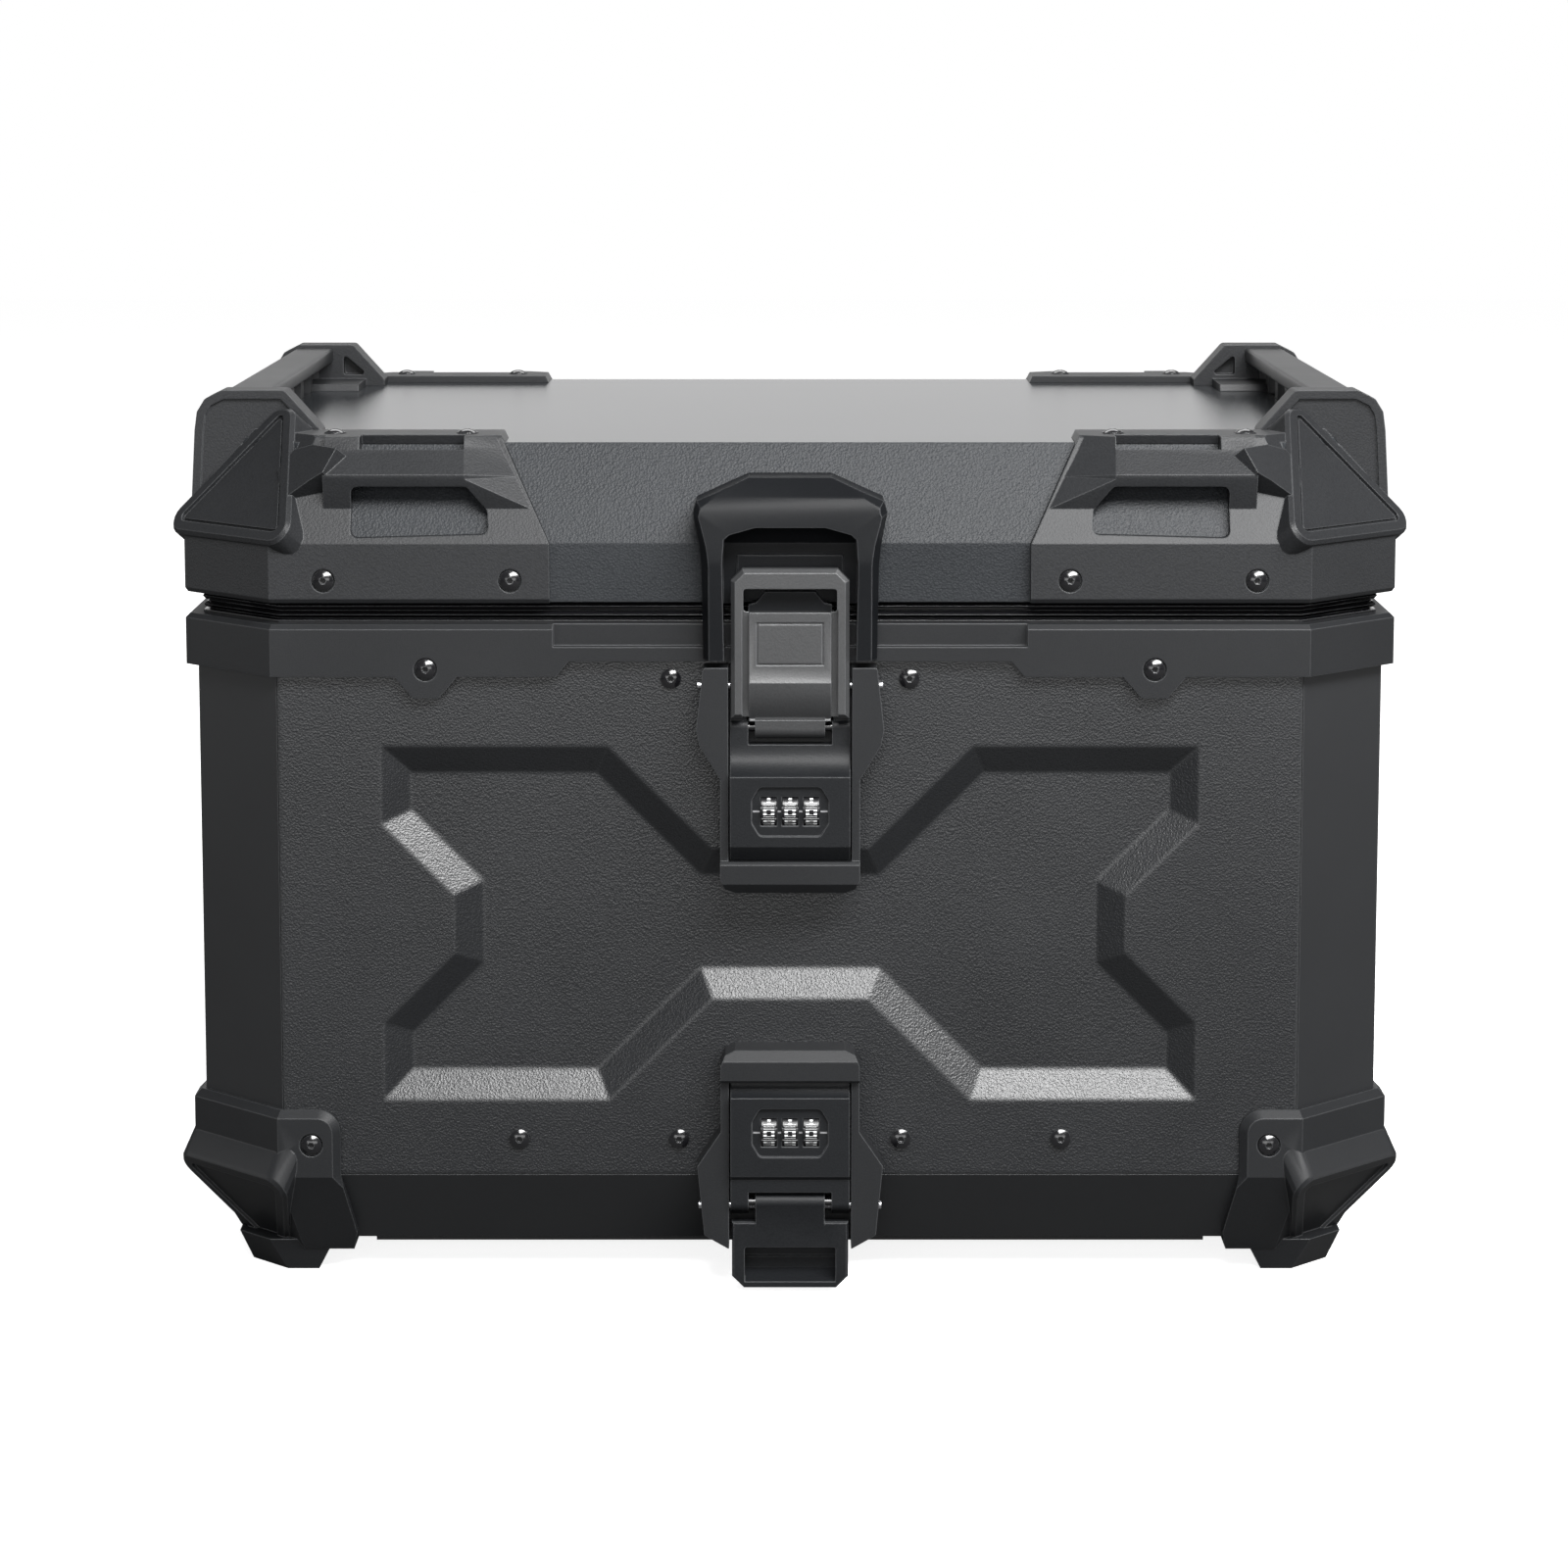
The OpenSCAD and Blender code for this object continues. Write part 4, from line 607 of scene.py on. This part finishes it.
# %% White and grey print
def print_ink(name, dark, light):
    """Thin paint, a little uneven."""
    material = bpy.data.materials.new(name)
    material.use_nodes = True
    tree = material.node_tree
    shader = tree.nodes["Principled BSDF"]
    touch = place_group(tree, handling, Scale=900.0, Contrast=1.2)
    tree.links.new(blend_colours(tree, touch.outputs["Patches"], dark, light), shader.inputs["Base Color"])
    tree.links.new(spread(tree, touch.outputs["Patches"], 0.3, 0.5), shader.inputs["Roughness"])
    return material


print_white = print_ink("white_print", (0.66, 0.67, 0.67), (0.88, 0.89, 0.89))
print_grey = print_ink("grey_print", (0.16, 0.16, 0.165), (0.27, 0.27, 0.28))
print("print ready")

# %% Number grid
FACE = {
    0: "11111 10001 10001 10001 11111", 1: "00100 00100 00100 00100 11111",
    2: "11111 00001 11111 10000 11111", 3: "11111 00001 11111 00001 11111",
    4: "10001 10001 11111 00001 00001", 5: "11111 10000 11111 00001 11111",
    6: "11111 10000 11111 10001 11111", 7: "11111 00001 00001 00001 00001",
    8: "11111 10001 11111 10001 11111", 9: "11111 10001 11111 00001 11111",
}
NUMBER_W, NUMBER_H = 0.0038, 0.0034
UPRIGHT, BAR = 0.00112, 0.00085  # widths of the standing and the lying strokes
FILM = 0.00002  # height of the print over the wheel


def grid_lines(length, stroke):
    """Six lines across a length centred on 0: strokes at both ends and in the middle."""
    half = length / 2
    return [-half, -half + stroke, -stroke / 2, stroke / 2, half - stroke, half]


columns, rows = grid_lines(NUMBER_W, UPRIGHT), grid_lines(NUMBER_H, BAR)[::-1]


def number_ring(wheel):
    """The ten numbers of one wheel, 36 degrees apart, with 0 to the front."""
    low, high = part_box(wheel)
    centre = (low + high) / 2
    radius = (high.z - low.z) / 2 + FILM
    bm = bmesh.new()

    def corner(digit, x, y):
        angle = math.radians(36 * digit) + y / radius
        return bm.verts.new((centre.x + x, centre.y - radius * math.cos(angle),
                             centre.z + radius * math.sin(angle)))

    for digit, drawing in FACE.items():
        corners = {}
        for r, line in enumerate(drawing.split()):
            for c, cell in enumerate(line):
                if cell == "0":
                    continue
                loop = [(c, r + 1), (c + 1, r + 1), (c + 1, r), (c, r)]
                for key in loop:
                    if key not in corners:
                        corners[key] = corner(digit, columns[key[0]], rows[key[1]])
                bm.faces.new([corners[key] for key in loop])
    ring = make_object(f"{wheel}_numbers", bm, print_white)
    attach(ring, wheel)
    return ring


rings = [number_ring(n) for n in named("wheel")]
print(len(rings), "rings of numbers,", len(rings[0].data.polygons), "faces each")

# %% [markdown]
# ## Index marks
# The number that counts is the one between two short pale bars at the ends of the dial window. Smaller bars
# stand between the wheels. They are printed on the floor of the window, so each is a very thin plate.

# %% Index marks
MARK_HALF_H, MARK_T = 0.0003, 0.0002
WINDOW_DEPTH = 0.0012


def index_marks(latch):
    """Marks of one latch: a bar at each end of the window and one between neighbouring wheels."""
    block = f"{latch}_lock_block"
    low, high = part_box(f"{latch}_middle_wheel")
    wheel_z = (low.z + high.z) / 2
    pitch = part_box(f"{latch}_right_wheel")[0].x - low.x
    floor_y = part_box(block)[0].y + WINDOW_DEPTH
    spans = [(-0.0128, -0.0104), (0.0104, 0.0128)]
    spans += [(x - 0.0006, x + 0.0006) for x in (-pitch / 2, pitch / 2)]
    bm = bmesh.new()
    for x0, x1 in spans:
        box = bmesh.ops.create_cube(bm, size=1)
        for v in box["verts"]:
            v.co = Vector(((x0 + x1) / 2 + v.co.x * (x1 - x0), floor_y + v.co.y * MARK_T,
                           wheel_z + v.co.z * 2 * MARK_HALF_H))
    marks = make_object(f"{latch}_index_marks", bm, print_grey)
    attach(marks, f"{latch}_handle")
    return marks


for latch in ("top", "bottom"):
    print(index_marks(latch).name, "printed")

# %% [markdown]
# ## Back of the hook's window
# The window of the lower hook looks dark, because a thin stepped plate closes it from behind. The plate turns
# with the hook, so it rides on it. It is one profile across the width, placed from the hook's own box: it
# stands on the inturned lip and reaches just past the window's top edge.

# %% Hook plate
def hook_plate():
    """Thin plate behind the window of the lower hook."""
    low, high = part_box("bottom_hook")
    half_w = (high.x - low.x) * 0.395
    back, thick, step = high.y - 0.0003, 0.0008, 0.0005
    foot, middle_z, top = low.z + 0.0048, low.z + 0.0094, low.z + 0.0139
    front = back - thick
    profile = [(front, top), (front, middle_z), (front - step, middle_z - step), (front - step, foot),
               (back, foot), (back, top)]
    bm = bmesh.new()
    close_between(bm, *[[bm.verts.new((x, y, z)) for y, z in profile] for x in (-half_w, half_w)])
    plate = make_object("bottom_hook_plate", bm, lock_black)
    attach(plate, "bottom_hook")
    return plate


print(hook_plate().name, "closes the hook's window")

# %% [markdown]
# ## Fields of the lid's corner bumpers
# Each triangular bumper on the lid has a sunk field. A thin plate lies in it, a little below the raised border,
# so that the field is one even surface. It is drawn flat, with its foot at the middle of the bumper's lower
# edge, then leaned back and turned to face the corner. The other three corners are mirror images of the front
# left one. The bumper's foot is measured from the lid shell's box.

# %% Bumper fields
FIELD = [(-0.0285, 0.00465), (0.0285, 0.00465), (0.0, 0.05095)]
FIELD_LOW, FIELD_TOP = -0.00144, -0.00072
FIELD_GAP, FIELD_ROUND = 0.0012, 0.001  # room all round the plate, and the radius of its corners
BUMPER_RISE, BUMPER_LEAN, BUMPER_OUT = 0.0436, 0.029, 0.006
FOOT_INSET, FOOT_UP = 0.0155, 0.021  # from the shell's corner inwards, and up from its lower edge


def shrunk(points, gap, radius, steps=5):
    """Outline drawn in by gap, with its corners rounded, in the order of its points."""
    reach = gap + radius
    outline = []
    for k, here in enumerate(points):
        corner = Vector(here)
        before = (Vector(points[k - 1]) - corner).normalized()
        after = (Vector(points[(k + 1) % len(points)]) - corner).normalized()
        half = before.angle(after) / 2
        centre = corner + (before + after).normalized() * reach / math.sin(half)
        start = (corner + before * reach / math.tan(half) - centre).normalized()
        end = (corner + after * reach / math.tan(half) - centre).normalized()
        outline += [centre + start.slerp(end, step / steps) * radius for step in range(steps + 1)]
    return outline


def bumper_field(name, side, end):
    """Plate in the sunk field of one lid bumper; side is -1 for left, end is -1 for front."""
    low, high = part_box("lid_shell")
    centre, half = (low + high) / 2, (high - low) / 2
    foot = Vector((centre.x + side * (half.x - FOOT_INSET), centre.y + end * (half.y - FOOT_INSET), low.z + FOOT_UP))
    lean = Matrix.Rotation(math.pi / 2 - math.atan2(BUMPER_LEAN, BUMPER_RISE), 4, "X")
    place = Matrix.Rotation(-math.pi / 4, 4, "Z") @ Matrix.Translation((0, -BUMPER_OUT, 0)) @ lean
    bm = bmesh.new()
    rings = []
    for z in (FIELD_LOW, FIELD_TOP):
        spots = [place @ Vector((p.x, p.y, z)) for p in shrunk(FIELD, FIELD_GAP, FIELD_ROUND)]
        rings.append([bm.verts.new(foot + Vector((-side * p.x, -end * p.y, p.z))) for p in spots])
    close_between(bm, *rings)
    plate = make_object(name, bm, guard_black)
    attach(plate, "lid")
    return plate


for end, along in ((-1, "front"), (1, "rear")):
    for side, across in ((-1, "left"), (1, "right")):
        print(bumper_field(f"{along}_{across}_bumper_field", side, end).name, "laid in")
